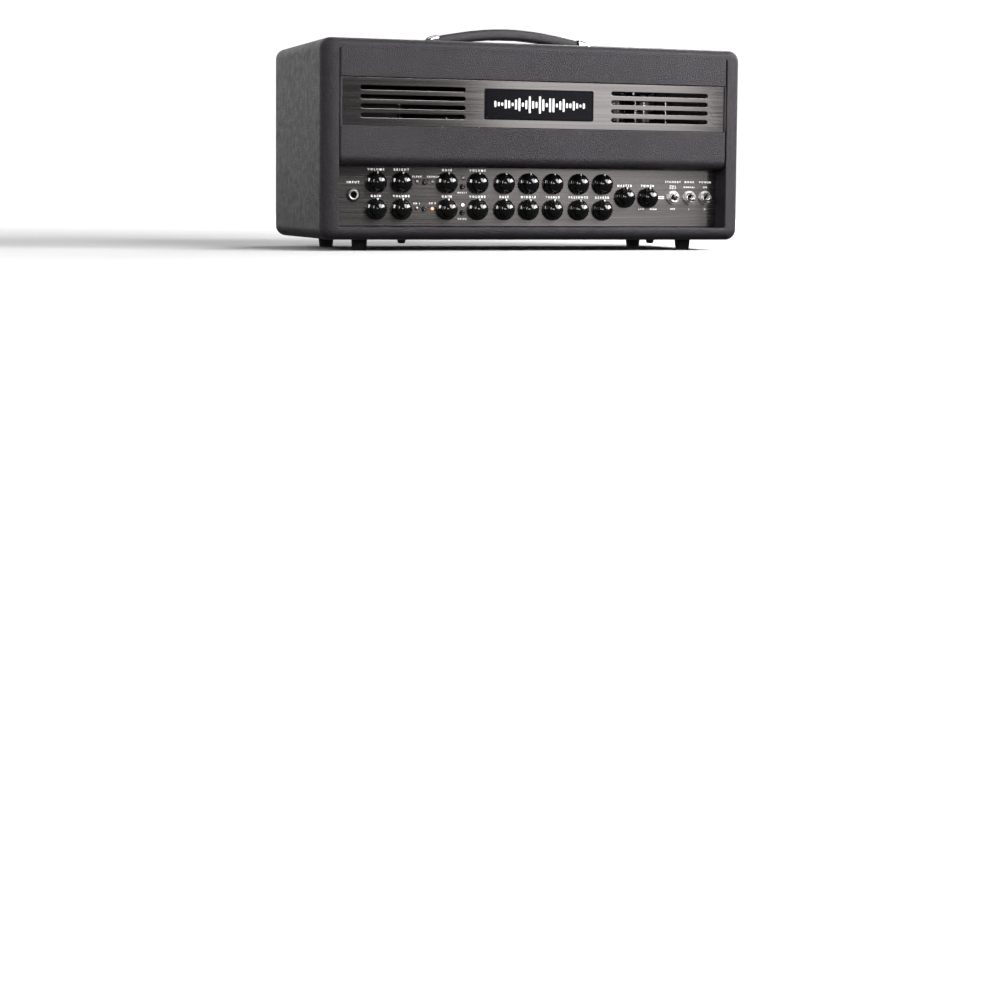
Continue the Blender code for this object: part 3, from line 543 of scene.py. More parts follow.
def make_front_boards():
    """Vinyl-covered boards above and below the vent plate, and narrow stiles at its ends."""
    face = LOWER_LOW.y - 0.0003
    left, right = OPENING_LEFT + 0.0003, OPENING_RIGHT - 0.0004
    drawn, still = (1, 0), (0, 0)
    top = INNER_TOP + 0.0003
    profile = [
        (UPPER_HIGH.y, UPPER_LOW.z), (UPPER_HIGH.y, top), (face, top), (face, UPPER_LOW.z + 0.0012),
        (face + 0.0004, UPPER_LOW.z + 0.0004), (face + 0.0012, UPPER_LOW.z),
    ]
    bm = bmesh.new()
    rounded_bar(bm, profile, left, right, RAIL_END, [still] * 2 + [drawn] * 4)
    piece_of("front_board_upper", bm, VINYL, "front_rail_upper")

    roll = 0.0125
    low = LOWER_LOW.z + 0.001
    profile = [(LOWER_HIGH.y, low), (LOWER_HIGH.y, LOWER_HIGH.z)]
    draws = [still, still]
    for rise, run in quarter(3):
        profile.append((face + 0.0012 * (1 - rise), LOWER_HIGH.z - 0.0012 * (1 - run)))
        draws.append(drawn)
    for rise, run in quarter(12):
        profile.append((face + roll * (1 - run), low + roll * (1 - rise)))
        draws.append((run, rise))
    bm = bmesh.new()
    rounded_bar(bm, profile, left, right, RAIL_END, draws)
    piece_of("front_board_lower", bm, VINYL, "front_rail_lower")

    low, high = LOWER_HIGH.z + 0.0001, UPPER_LOW.z - 0.0001
    profile = [(VENT_HIGH.y, low), (VENT_HIGH.y, high), (face + 0.0003, high), (face + 0.0003, low)]
    draws = [still, still, drawn, drawn]
    for name, start, end in (("left", left, PLATE_LEFT), ("right", PLATE_RIGHT, right)):
        bm = bmesh.new()
        rounded_bar(bm, profile, start, end, 0.0012, draws)
        piece_of(f"front_stile_{name}", bm, VINYL)


# --- vent plate and badge
PLATE_MIDDLE = 0.0008
SLOT_CENTRE_X = 0.1558
SLOT_LENGTH = 0.1275
SLOT_HEIGHT = 0.0055
SLOT_PITCH = 0.0106
SLOT_TOP = 0.1882


def make_vent_plate():
    """Brushed strip with four long slots each side of the badge."""
    bm = bmesh.new()
    left, right = PLATE_LEFT + 0.0001, PLATE_RIGHT - 0.0001
    outlines = [rounded_outline(left, VENT_LOW.z, right, VENT_HIGH.z, 0.0003, 1)]
    for row in range(4):
        z = SLOT_TOP - row * SLOT_PITCH
        for side in (-1, 1):
            x = PLATE_MIDDLE + side * SLOT_CENTRE_X
            half = SLOT_LENGTH / 2
            outlines.append(rounded_outline(
                x - half, z - SLOT_HEIGHT / 2, x + half, z + SLOT_HEIGHT / 2,
                SLOT_HEIGHT / 2 - 0.00001, 8,
            ))
    add_sheet(bm, outlines, VENT_LOW.y, VENT_HIGH.y - VENT_LOW.y, 0.00025)
    piece_of("vent_strip", bm, VENT_METAL, "vent_plate")


def make_badge():
    """Gloss black name plate with a stepped rim and a plain waveform for an emblem."""
    centre = (BADGE_LOW + BADGE_HIGH) / 2 + Vector((PLATE_MIDDLE, 0, 0))
    half_x = (BADGE_HIGH.x - BADGE_LOW.x) / 2
    half_z = (BADGE_HIGH.z - BADGE_LOW.z) / 2
    back = BADGE_HIGH.y
    front = BADGE_LOW.y
    steps = (
        (0.0, back), (0.0, front + 0.0005), (0.00025, front + 0.00012), (0.0007, front),
        (0.0015, front), (0.0019, front + 0.0004), (0.0026, front + 0.0004),
    )
    sections = []
    for inset, y in steps:
        outline = rounded_outline(
            centre.x - half_x + inset, centre.z - half_z + inset,
            centre.x + half_x - inset, centre.z + half_z - inset, max(0.0022 - inset, 0.0006), 6,
        )
        sections += across_y(outline, y)
    bm = bmesh.new()
    add_capped(bm, sections)
    piece_of("badge", bm, BADGE_GLOSS, "badge_plate")

    bm = bmesh.new()
    bars = 27
    middle = (bars - 1) / 2
    pitch = 0.0043
    for bar in range(bars):
        along = (bar - middle) / middle
        swell = 0.25 + 0.75 * cos(pi / 2 * along) ** 1.3
        beat = 0.55 + 0.45 * cos(bar * 1.9)
        reach = 0.0014 + 0.0092 * swell * beat
        x = centre.x + (bar - middle) * pitch
        outline = rounded_outline(x - 0.0013, centre.z - reach, x + 0.0013, centre.z + reach, 0.0012, 4)
        add_capped(bm, across_y(outline, front + 0.0005, front + 0.0001))
    piece_of("badge_waveform", bm, WHITE_PAINT)


# --- control panel
KNOBS = nodes_called("knob_")
BUTTONS = nodes_called("push_button_")
LEVERS = nodes_called("toggle_lever_")
PANEL_FACE = PANEL_LOW.y
JACK = centre_of("input_jack")
TOGGLE_Z = centre_of("toggle_switch_board").z
TOGGLE_COLUMNS = (0.187, 0.209, 0.2305)
PIVOT_Y = PANEL_FACE - 0.002
LAMPS = {
    "lamp_clean": (-0.1425, 0.081, LAMP_OFF),
    "lamp_crunch": (-0.1233, 0.081, LAMP_OFF),
    "lamp_channel_1": (-0.1425, 0.0498, LAMP_OFF),
    "lamp_channel_2": (-0.1233, 0.0493, LAMP_RED),
    "lamp_boost": (-0.0855, 0.086, LAMP_OFF),
    "lamp_voice": (-0.0855, 0.054, LAMP_WHITE),
}


def on_panel(name):
    """The place on the panel's face under the middle of a control."""
    spot = centre_of(name)
    return (spot.x, PANEL_FACE, spot.z)


def make_panel():
    """Brushed panel with holes for its controls."""
    bm = bmesh.new()
    outlines = [rounded_outline(PANEL_LOW.x, PANEL_LOW.z, PANEL_HIGH.x, PANEL_HIGH.z, 0.0003, 1)]
    for names, radius in ((KNOBS, 0.004), (BUTTONS, 0.0028)):
        for x, _, z in map(on_panel, names):
            outlines.append(circle(x, z, radius))
    for x, z, _ in LAMPS.values():
        outlines.append(circle(x, z, 0.0021))
    for x in TOGGLE_COLUMNS:
        outlines.append(circle(x, TOGGLE_Z, 0.0066))
    outlines.append(circle(JACK.x, JACK.z, 0.0055))
    add_sheet(bm, outlines, PANEL_FACE, PANEL_HIGH.y - PANEL_FACE, 0.0002)
    piece_of("control_fascia", bm, PANEL_METAL, "control_panel")


def make_panel_words():
    """Plain words for what each control does."""
    big, small = 0.0034, 0.0024
    upper = ("VOLUME", "BRIGHT", "GAIN", "VOLUME")
    lower = ("GAIN", "VOLUME", "GAIN", "VOLUME", "BASS", "MIDDLE", "TREBLE", "PRESENCE", "REVERB")
    y = PANEL_FACE - 0.00002
    bm = bmesh.new()
    for row, words in (("upper", upper), ("lower", lower)):
        for number, word in enumerate(words, start=1):
            spot = centre_of(f"knob_{row}_{number}")
            add_words(bm, word, spot.x, spot.z + 0.015, big, y)
    for word, name in (("MASTER", "knob_master"), ("POWER", "knob_power")):
        spot = centre_of(name)
        add_words(bm, word, spot.x, spot.z + 0.0142, big, y)
    power = centre_of("knob_power")
    add_words(bm, "LOW", power.x - 0.008, power.z - 0.0142, small, y)
    add_words(bm, "HIGH", power.x + 0.008, power.z - 0.0142, small, y)
    add_words(bm, "INPUT", JACK.x, JACK.z + 0.0145, big, y)
    headings = (("STANDBY", "FULL\nHALF", "OFF"), ("MODE", "NORMAL", "I"), ("POWER", "ON", "O"))
    for x, (heading, top, bottom) in zip(TOGGLE_COLUMNS, headings):
        add_words(bm, heading, x, TOGGLE_Z + 0.019, big * 0.9, y)
        add_words(bm, top, x, TOGGLE_Z + 0.0128, small, y)
        add_words(bm, bottom, x, TOGGLE_Z - 0.0142, small, y)
    tags = (
        ("CLEAN", -0.1425, 0.0868), ("CRUNCH", -0.1225, 0.0868), ("CH 1", -0.1425, 0.0552),
        ("CH 2", -0.1233, 0.0556), ("BOOST", -0.0862, 0.0682), ("VOICE", -0.0862, 0.0372),
    )
    for word, x, z in tags:
        add_words(bm, word, x, z, small, y)
    for offset in (-0.0011, 0.0011):
        add_box(
            bm, (0.1672, y - 0.00003, TOGGLE_Z + offset - 0.0006),
            (0.1752, y + 0.00001, TOGGLE_Z + offset + 0.0006),
        )
    # The words' material glows: painted light standing in for the light the upper board shades off
    # them.
    piece_of("panel_words", bm, PANEL_PAINT_PAINTED_GLOW)


def knob_profile():
    """Body with a shallow domed face standing on a wide sloping skirt: (radius, height)."""
    return mm(
        (0, 17.9), (1.2, 17.8), (2.8, 17.3), (4.6, 16.6), (6.4, 15.8), (7.8, 15.0), (8.5, 14.0),
        (8.8, 12.0), (9.0, 9.5), (9.1, 7.3), (9.3, 6.8), (9.7, 6.55), (10.3, 6.13), (10.9, 5.71),
        (11.5, 5.28), (12.0, 4.88), (12.4, 4.3), (12.7, 3.2), (12.7, 1.2), (12.5, 0.6),
        (3.2, 0.6), (3.0, -6.0), (0, -6.0),
    )


def add_knob_nose(bm, centre):
    """Ridge that runs from the knob's body out over the skirt and carries the pointer."""
    outline = mm((-7.0, 5.6), (-5.0, 9.2), (-3.0, 11.4), (-1.2, 12.6))
    outline += [(-across, up) for across, up in reversed(outline)]
    back = [(across, 0.0008, up) for across, up in outline]
    front = [(across, 0.0128 - 0.62 * (up - 0.004), up) for across, up in outline]
    add_capped(bm, [
        [(centre[0] + across, centre[1] - height, centre[2] + up) for across, height, up in ring]
        for ring in (back, front)
    ])


def make_knobs():
    """Gloss knobs with a white pointer at the tip of the ridge, each on its own body."""
    profile = knob_profile()
    for name in KNOBS:
        centre = on_panel(name)
        bm = turned(profile, centre, FACING_FRONT, 56)
        add_knob_nose(bm, centre)
        piece_of(f"{name}_cap", bm, KNOB_PLASTIC, name, name, 60)
        bm = bmesh.new()
        add_box(bm, (-0.0009, -0.0094, 0.0101), (0.0009, -0.004, 0.0127), 0.0006, 3)
        bmesh.ops.translate(bm, verts=bm.verts, vec=centre)
        piece_of(f"{name}_pointer", bm, WHITE_PAINT, body=name)


def make_buttons():
    """Small push buttons with a dished face, each in a dark collar on the panel."""
    cap = mm(
        (0, 3.6), (1.0, 3.7), (1.6, 4.0), (1.9, 3.9), (2.2, 3.4), (2.2, -2.0), (3.2, -2.0),
        (3.2, -3.0), (1.2, -3.0), (1.2, -8.0), (0, -8.0),
    )
    collar = mm((2.5, 0), (3.4, 0), (3.4, 0.4), (3.1, 0.7), (2.5, 0.7))
    for name in BUTTONS:
        centre = on_panel(name)
        bm = turned(cap, centre, FACING_FRONT, 28)
        piece_of(f"{name}_cap", bm, BUTTON_PLASTIC, name, name)
        bm = turned(collar, centre, FACING_FRONT, 28, closed=True)
        piece_of(f"{name}_collar", bm, SOCKET_BLACK)


def make_lamps():
    """Domed lamp lenses in thin bezels."""
    lens = [(0, 0.0022)] + [(0.0017 * rise, 0.0006 + 0.0016 * run) for rise, run in quarter(6)[1:]]
    lens += mm((1.7, -0.6), (0, -0.6))
    bezel = mm((1.8, 0), (2.5, 0), (2.4, 0.4), (1.8, 0.5))
    for name, (x, z, look) in LAMPS.items():
        centre = (x, PANEL_FACE, z)
        piece_of(name, turned(lens, centre, FACING_FRONT, 24), look)
        bm = turned(bezel, centre, FACING_FRONT, 24, closed=True)
        piece_of(f"{name}_bezel", bm, SOCKET_BLACK)


def thread(radius, start, end, pitch, depth):
    """Ridges of a fine thread as (radius, height) pairs."""
    points = []
    height = start
    while height > end:
        points += [(radius - depth, height), (radius, height - pitch / 2)]
        height -= pitch
    points.append((radius - depth, end))
    return points


def make_toggles():
    """Toggle switches: bodies on a board, threaded bushings, hex nuts, washers and levers."""
    bm = bmesh.new()
    low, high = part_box("toggle_switch_board")
    board_y = high.y - 0.0016
    add_box(bm, (low.x, board_y, low.z), (high.x, high.y, high.z), 0.0003, 1)
    for x in TOGGLE_COLUMNS:
        add_box(
            bm, (x - 0.0065, PANEL_HIGH.y + 0.002, TOGGLE_Z - 0.01),
            (x + 0.0065, board_y - 0.0002, TOGGLE_Z + 0.01), 0.0008,
        )
    piece_of("toggle_bodies", bm, SOCKET_BLACK, "toggle_switch_board")
    bushing = mm((4.0, 5.2), (4.6, 5.7), (5.5, 5.7), (5.9, 5.2))
    bushing += thread(0.006, 0.0051, -0.003, 0.0007, 0.0003) + [(0.004, -0.003)]
    nut = mm((6.1, 0.8), (8.0, 0.8), (8.4, 1.1), (8.4, 3.0), (7.8, 3.6), (6.6, 3.7), (6.1, 3.4))
    washer = mm((6.2, 0.1), (8.8, 0.1), (8.8, 0.5), (8.5, 0.8), (6.2, 0.8))
    for number, x in enumerate(TOGGLE_COLUMNS, start=1):
        centre = (x, PANEL_FACE, TOGGLE_Z)
        bm = turned(bushing, centre, FACING_FRONT, 40, closed=True)
        piece_of(f"toggle_bushing_{number}", bm, NICKEL)
        bm = turned(nut, centre, FACING_FRONT, 72, closed=True, flats=0.0146)
        piece_of(f"toggle_nut_{number}", bm, NICKEL, sharp=28)
        bm = turned(washer, centre, FACING_FRONT, 40, closed=True)
        piece_of(f"toggle_washer_{number}", bm, STEEL)
    bat = mm(
        (0, 12.0), (1.0, 11.9), (1.9, 11.5), (2.5, 10.7), (2.8, 9.7), (2.7, 7.8), (2.3, 5.0),
        (1.8, 2.8), (1.6, 1.8), (2.1, 0.6), (2.1, -0.4), (1.4, -1.6), (0, -2.2),
    )
    for name, x in zip(sorted(LEVERS), TOGGLE_COLUMNS):
        tilt = radians(12) * (1 if name.endswith("_1") else -1)
        axis = (0, -cos(tilt), sin(tilt))
        bm = turned(bat, (x, PIVOT_Y, TOGGLE_Z), axis, 28)
        piece_of(f"{name}_bat", bm, CHROME, name, name, 60)


def add_socket(black, metal, centre, axis, ring, top):
    """A jack socket's front: washer, lined bore and ring nut, standing along an axis."""
    lip = top - 0.001
    washer = [(0.0056, 0.0001), (ring, 0.0001), (ring, 0.001), (ring - 0.0006, 0.0015)]
    add_turned(black, washer + [(0.0056, 0.0015)], centre, axis, 40, closed=True)
    liner = [(0.0033, -0.01), (0.0044, -0.01), (0.0044, lip), (0.0033, lip)]
    add_turned(black, liner, centre, axis, 32, closed=True)
    nut = [(0.0037, 0.0015), (0.0062, 0.0015), (0.0065, 0.002), (0.0063, lip)]
    nut += [(0.0058, top - 0.0003), (0.0051, top), (0.0044, top - 0.0003), (0.0039, top - 0.0009)]
    add_turned(metal, nut, centre, axis, 40, closed=True)


def make_input_jack():
    """Black washer and satin ring nut in front, moulded body behind."""
    low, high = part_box("input_jack")
    black, metal = bmesh.new(), bmesh.new()
    add_socket(black, metal, (JACK.x, PANEL_FACE, JACK.z), FACING_FRONT, 0.00815, 0.0036)
    add_box(
        black, (low.x + 0.0002, PANEL_HIGH.y + 0.0085, low.z + 0.0002),
        (high.x - 0.0002, high.y, high.z - 0.0002), 0.0008,
    )
    piece_of("input_socket", black, SOCKET_BLACK, "input_jack")
    piece_of("input_ring_nut", metal, SATIN_CHROME)


# --- rear
def make_rear_panel():
    """Rear sockets with nuts, painted words, and the screws of the chassis and the cover."""
    y = CHASSIS_HIGH.y
    low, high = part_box("rear_jack_board")
    columns = (-0.06, -0.02, 0.02, 0.06, 0.1)
    socket_z = centre_of("rear_jack_board").z
    black, metal = bmesh.new(), bmesh.new()
    add_box(black, (low.x, low.y, low.z), (high.x, low.y + 0.0016, high.z), 0.0003, 1)
    for x in columns:
        add_socket(black, metal, (x, y + 0.0002, socket_z), FACING_BACK, 0.0078, 0.004)
        add_box(
            black, (x - 0.0085, low.y + 0.0018, socket_z - 0.0085),
            (x + 0.0085, y - 0.011, socket_z + 0.0085), 0.0008,
        )
    piece_of("rear_sockets", black, SOCKET_BLACK, "rear_jack_board")
    piece_of("rear_ring_nuts", metal, CHROME)

    bm = bmesh.new()
    word_y = y + 0.00002
    for x, word in zip(columns, ("SEND", "RETURN", "LINE OUT", "8 OHM", "16 OHM")):
        add_words(bm, word, x, socket_z + 0.015, 0.004, word_y, 1)
    add_words(bm, "MAINS", centre_of("mains_inlet").x, socket_z + 0.021, 0.004, word_y, 1)
    for word, left, right in (("EFFECTS", 0, 1), ("SPEAKERS", 3, 4)):
        middle = (columns[left] + columns[right]) / 2
        add_words(bm, word, middle, socket_z - 0.015, 0.0036, word_y, 1)
        for side in (-1, 1):
            inner, outer = sorted((middle + side * 0.016, middle + side * 0.03))
            add_box(bm, (inner, y, socket_z - 0.0152), (outer, y + 0.00005, socket_z - 0.0147))
    piece_of("rear_words", bm, WHITE_PAINT)

    bm = bmesh.new()
    for x in (-0.232, -0.12, 0.0, 0.125, 0.232):
        for z in (CHASSIS_LOW.z + 0.006, CHASSIS_HIGH.z - 0.006):
            add_screw(bm, (x, y + 0.0001, z), FACING_BACK)
    for x in (-0.236, -0.118, 0.0, 0.118, 0.236):
        for z in (GRILLE_HIGH.z - 0.0055, GRILLE_LOW.z + 0.0042):
            add_screw(bm, (x, GRILLE_HIGH.y + 0.0001, z), FACING_BACK, 0.003)
    piece_of("rear_screws", bm, STEEL)


def make_mains_inlet():
    """Appliance inlet with chamfered cavity, three flat pins, a fuse drawer and two screws."""
    centre = centre_of("mains_inlet")
    y = CHASSIS_HIGH.y
    x, z = centre.x, centre.z
    cavity = mm((-12, -8.5), (12, -8.5), (12, 4.5), (7.8, 8.5), (-7.8, 8.5), (-12, 4.5))
    cavity = [(x + a, z + b) for a, b in cavity]
    bm = bmesh.new()
    rim = rounded_outline(x - 0.025, z - 0.016, x + 0.025, z + 0.016, 0.005, 8)
    holes = [circle(x + side * 0.019, z, 0.0016) for side in (-1, 1)]
    add_sheet(bm, [rim, cavity, *holes], y + 0.0028, 0.0025, 0.0005, 1)
    wall = 0.0022
    outer = [(x + (a - x) * (1 + wall / 0.012), z + (b - z) * (1 + wall / 0.0085)) for a, b in cavity]
    sections = across_y(outer, y - 0.0235, y + 0.0008) + across_y(cavity, y + 0.0008, y - 0.015)
    add_capped(bm, sections)
    add_box(bm, (x - 0.011, y + 0.0026, z - 0.0145), (x + 0.011, y + 0.0042, z - 0.0098), 0.0006)
    piece_of("mains_socket", bm, SOCKET_BLACK, "mains_inlet")
    bm = bmesh.new()
    for along, up in ((-0.007, -0.002), (0.007, -0.002), (0.0, 0.002)):
        add_box(
            bm, (x + along - 0.001, y - 0.0155, z + up - 0.002),
            (x + along + 0.001, y - 0.002, z + up + 0.002), 0.0005,
        )
    for side in (-1, 1):
        add_screw(bm, (x + side * 0.019, y + 0.0028, z), FACING_BACK, 0.0028)
    piece_of("mains_pins", bm, STEEL)


def make_rear_grille():
    """Slotted steel cover in black powder coat."""
    bm = bmesh.new()
    outlines = [rounded_outline(GRILLE_LOW.x, GRILLE_LOW.z, GRILLE_HIGH.x, GRILLE_HIGH.z, 0.001, 3)]
    for z in (0.115, 0.1285, 0.142, 0.21, 0.2235):
        for x in (-0.177, -0.059, 0.059, 0.177):
            outlines.append(rounded_outline(x - 0.05, z - 0.0035, x + 0.05, z + 0.0035, 0.00349, 6))
    add_sheet(bm, outlines, GRILLE_HIGH.y, GRILLE_HIGH.y - GRILLE_LOW.y, 0.0003, 1)
    piece_of("rear_cover", bm, GRILLE_PAINT, "rear_grille")


# --- valves and transformers
def standing(node):
    """The foot, radius and height of an upright node."""
    low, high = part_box(node)
    foot = ((low.x + high.x) / 2, (low.y + high.y) / 2, low.z)
    return foot, (high.x - low.x) / 2, high.z - low.z


def add_disc(bm, spot, radius, low, high, steps):
    """An upright disc between two heights above spot."""
    add_turned(bm, [(0, high), (radius, high), (radius, low), (0, low)], spot, UP, steps)


def make_power_tube(name):
    """Glass envelope over a grey anode between mica discs, silvered top, bakelite base."""
    spot, radius, height = standing(name)
    glass = radius - 0.0009
    shoulder = height - 0.013
    outer = [(glass * rise, shoulder + 0.013 * run) for rise, run in quarter(8)]
    inner = [((glass - 0.0011) * rise, shoulder + 0.0119 * run) for rise, run in quarter(8)]
    shell = outer + [(glass, 0.0235), (glass - 0.0011, 0.0235)] + inner[::-1]
    piece_of(f"{name}_glass", turned(shell, spot, UP, 36), GLASS, name, sharp=70)
    base = [(0, 0.0238), (radius - 0.0022, 0.0238), (radius - 0.0004, 0.0232), (radius, 0.0215)]
    base += [(radius, 0.0075), (radius - 0.0014, 0.0065), (radius - 0.0014, 0.0002), (0, 0.0002)]
    piece_of(f"{name}_base", turned(base, spot, UP, 40), BAKELITE)
    anode = mm((0, 70), (8.3, 70), (8.7, 69), (8.7, 34.5), (8.3, 33.5), (0, 33.5))
    bm = turned(anode, spot, UP, 28)
    for side in (-1, 1):
        x = spot[0] + side * 0.0103
        add_box(
            bm, (x - 0.0018, spot[1] - 0.0006, spot[2] + 0.035),
            (x + 0.0018, spot[1] + 0.0006, spot[2] + 0.0685), 0.0003, 1,
        )
    rod = mm((0, 78), (0.5, 78), (0.5, 24), (0, 24))
    for along, across in mm((4.5, 4.5), (-4.5, 4.5), (0, -6)):
        add_turned(bm, rod, (spot[0] + along, spot[1] + across, spot[2]), UP, 10)
    piece_of(f"{name}_anode", bm, ANODE)
    bm = bmesh.new()
    for start in (0.0312, 0.0716):
        add_disc(bm, spot, 0.0138, start, start + 0.0006, 28)
    piece_of(f"{name}_mica", bm, MICA)
    flash = [((glass - 0.0014) * rise, shoulder + 0.0114 * run) for rise, run in quarter(8)[:-1]]
    back = [(max(reach - 0.0003, 0), up - 0.0003) for reach, up in flash[::-1]]
    piece_of(f"{name}_getter", turned(flash + back, spot, UP, 32), GETTER)


def make_valve_retainers():
    """Plated posts between the power valves, with a bar across them in front of the glass."""
    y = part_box("power_tube_1")[0].y - 0.003
    columns = [centre_of(f"power_tube_{number}").x + 0.0212 for number in range(1, 5)]
    columns.insert(0, columns[0] - 0.0424)
    bm = bmesh.new()
    foot = CHASSIS_HIGH.z + 0.0002
    post = [(0, 0.1015), (0.0009, 0.101), (0.0012, 0.1), (0.0012, 0.003), (0.003, 0.003)]
    post += [(0.003, 0.0), (0, 0.0)]
    for x in columns:
        add_turned(bm, post, (x, y, foot), UP, 20)
    add_box(
        bm, (columns[0] - 0.004, y - 0.0008, foot + 0.0965),
        (columns[-1] + 0.004, y + 0.0016, foot + 0.1003), 0.0006,
    )
    piece_of("valve_retainers", bm, CHROME)


def make_preamp_tube(name):
    """Small all-glass valve: nipple, twin anodes and a silvered crown."""
    spot, half, height = standing(name)
    radius = half - 0.0001
    crown = height - 0.0115
    outer = [(0, height - 0.0002), (0.0012, height - 0.0012), (0.0018, height - 0.0034)]
    outer += [(radius * rise, crown + 0.007 * run) for rise, run in quarter(8)[2:]]
    inner = [(max(reach - 0.0009, 0), up - 0.0009) for reach, up in outer[2:]]
    shell = outer + [(radius, 0.002), (radius - 0.0009, 0.002)] + inner[::-1] + [(0, crown + 0.0062)]
    piece_of(f"{name}_glass", turned(shell, spot, UP, 32), GLASS, name, sharp=70)
    bm = bmesh.new()
    for side in (-1, 1):
        x = spot[0] + side * 0.004
        add_box(
            bm, (x - 0.0028, spot[1] - 0.0045, spot[2] + 0.01),
            (x + 0.0028, spot[1] + 0.0045, spot[2] + 0.033), 0.0012, 3,
        )
    piece_of(f"{name}_anodes", bm, ANODE)
    bm = bmesh.new()
    for start in (0.0085, 0.0345):
        add_disc(bm, spot, radius - 0.0018, start, start + 0.0005, 24)
    add_disc(bm, spot, radius - 0.0012, 0.0002, 0.0022, 24)
    piece_of(f"{name}_mica", bm, MICA)


def make_transformer(name):
    """Laminated core standing between two pressed covers, with a foot and its screws."""
    low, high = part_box(name)
    centre = (low + high) / 2
    half_x = (high.x - low.x) / 2 - 0.008
    depth = high.y - low.y
    core_half = depth * 0.23
    bm = bmesh.new()
    sheets = 24
    pitch = 2 * core_half / sheets
    for sheet in range(sheets):
        start = centre.y - core_half + sheet * pitch
        inset = 0.0004 if sheet % 2 else 0.0
        add_box(
            bm, (centre.x - half_x + inset, start, low.z + 0.0026),
            (centre.x + half_x - inset, start + pitch * 0.98, high.z - inset),
        )
    # The core's colour is darker than the steel's own: painted shade for the inside of the cabinet seen
    # through the slots.
    piece_of(f"{name}_core", bm, LAMINATION_WITH_PAINTED_SHADE, name)
    bm = bmesh.new()
    for side in (-1, 1):
        inner, outer = sorted((centre.y + side * core_half, centre.y + side * depth / 2))
        add_box(
            bm, (centre.x - half_x + 0.006, inner, low.z + 0.006),
            (centre.x + half_x - 0.006, outer, high.z - 0.005), 0.0075, 4,
        )
        inner, outer = sorted((centre.y + side * core_half, centre.y + side * (core_half + 0.0016)))
        left, right = centre.x - half_x, centre.x + half_x
        add_box(bm, (left, inner, low.z + 0.0026), (right, outer, high.z), 0.0006)
    foot = core_half + 0.004
    add_box(
        bm, (low.x, centre.y - foot, low.z), (high.x, centre.y + foot, low.z + 0.0025), 0.0006
    )
    piece_of(f"{name}_covers", bm, COVER_PAINT)
    bm = bmesh.new()
    for side in (-1, 1):
        for across in (-1, 1):
            x = centre.x + side * (half_x + 0.004)
            add_screw(bm, (x, centre.y + across * core_half, low.z + 0.0025), UP, 0.003)
            for up in (low.z + 0.009, high.z - 0.006):
                y = centre.y + across * (core_half + 0.0016)
                add_screw(bm, (centre.x + side * (half_x - 0.0032), y, up), (0, across, 0), 0.0026)
    piece_of(f"{name}_screws", bm, STEEL)


# --- feet, bolts and handle
def make_feet():
    """Ribbed rubber feet with a washer and a screw in the recess."""
    for name in nodes_called("foot_"):
        low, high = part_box(name)
        spot = ((low.x + high.x) / 2, (low.y + high.y) / 2, 0.0)
        top = high.z
        profile = [(0, top), (0.0093, top), (0.0095, top - 0.0003), (0.0094, top - 0.0016)]
        profile += [(0.0091, top - 0.0019), (0.0091, top - 0.0024), (0.0093, top - 0.0028)]
        profile += mm((8.4, 1.4), (8.2, 0.6), (7.8, 0), (4.2, 0), (3.6, 0.5), (3.5, 7), (0, 7))
        piece_of(f"{name}_rubber", turned(profile, spot, UP, 40), RUBBER, name)
        bm = bmesh.new()
        add_disc(bm, spot, 0.0032, 0.0061, 0.0068, 24)
        add_screw(bm, (spot[0], spot[1], 0.0061), (0, 0, -1), 0.0024, 0.0012)
        piece_of(f"{name}_screw", bm, STEEL)


def make_bolts():
    """Domed bolt heads on washers under the cabinet."""
    for name in nodes_called("chassis_bolt_"):
        low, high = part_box(name)
        centre = (low + high) / 2
        seat = SHELL_LOW.z - 0.0001
        spot = (centre.x, centre.y, seat)
        drop = seat - low.z
        shank = drop - (high.z - low.z)
        profile = [(0, drop * 0.55), (0.0009, drop * 0.55), (0.0015, drop), (0.003, drop * 0.97)]
        profile += [(0.0042, drop * 0.82), (0.0047, drop * 0.55), (0.0047, 0.0008), (0.006, 0.0008)]
        profile += [(0.006, 0.0), (0.0025, 0.0), (0.0025, shank), (0, shank)]
        bm = turned(profile, spot, (0, 0, -1), 32)
        piece_of(f"{name}_head", bm, COVER_PAINT, name)


CAP_MOUTH = 0.0917
TONGUE_END = 0.105
STRAP_Y = (STRAP_LOW.y + STRAP_HIGH.y) / 2


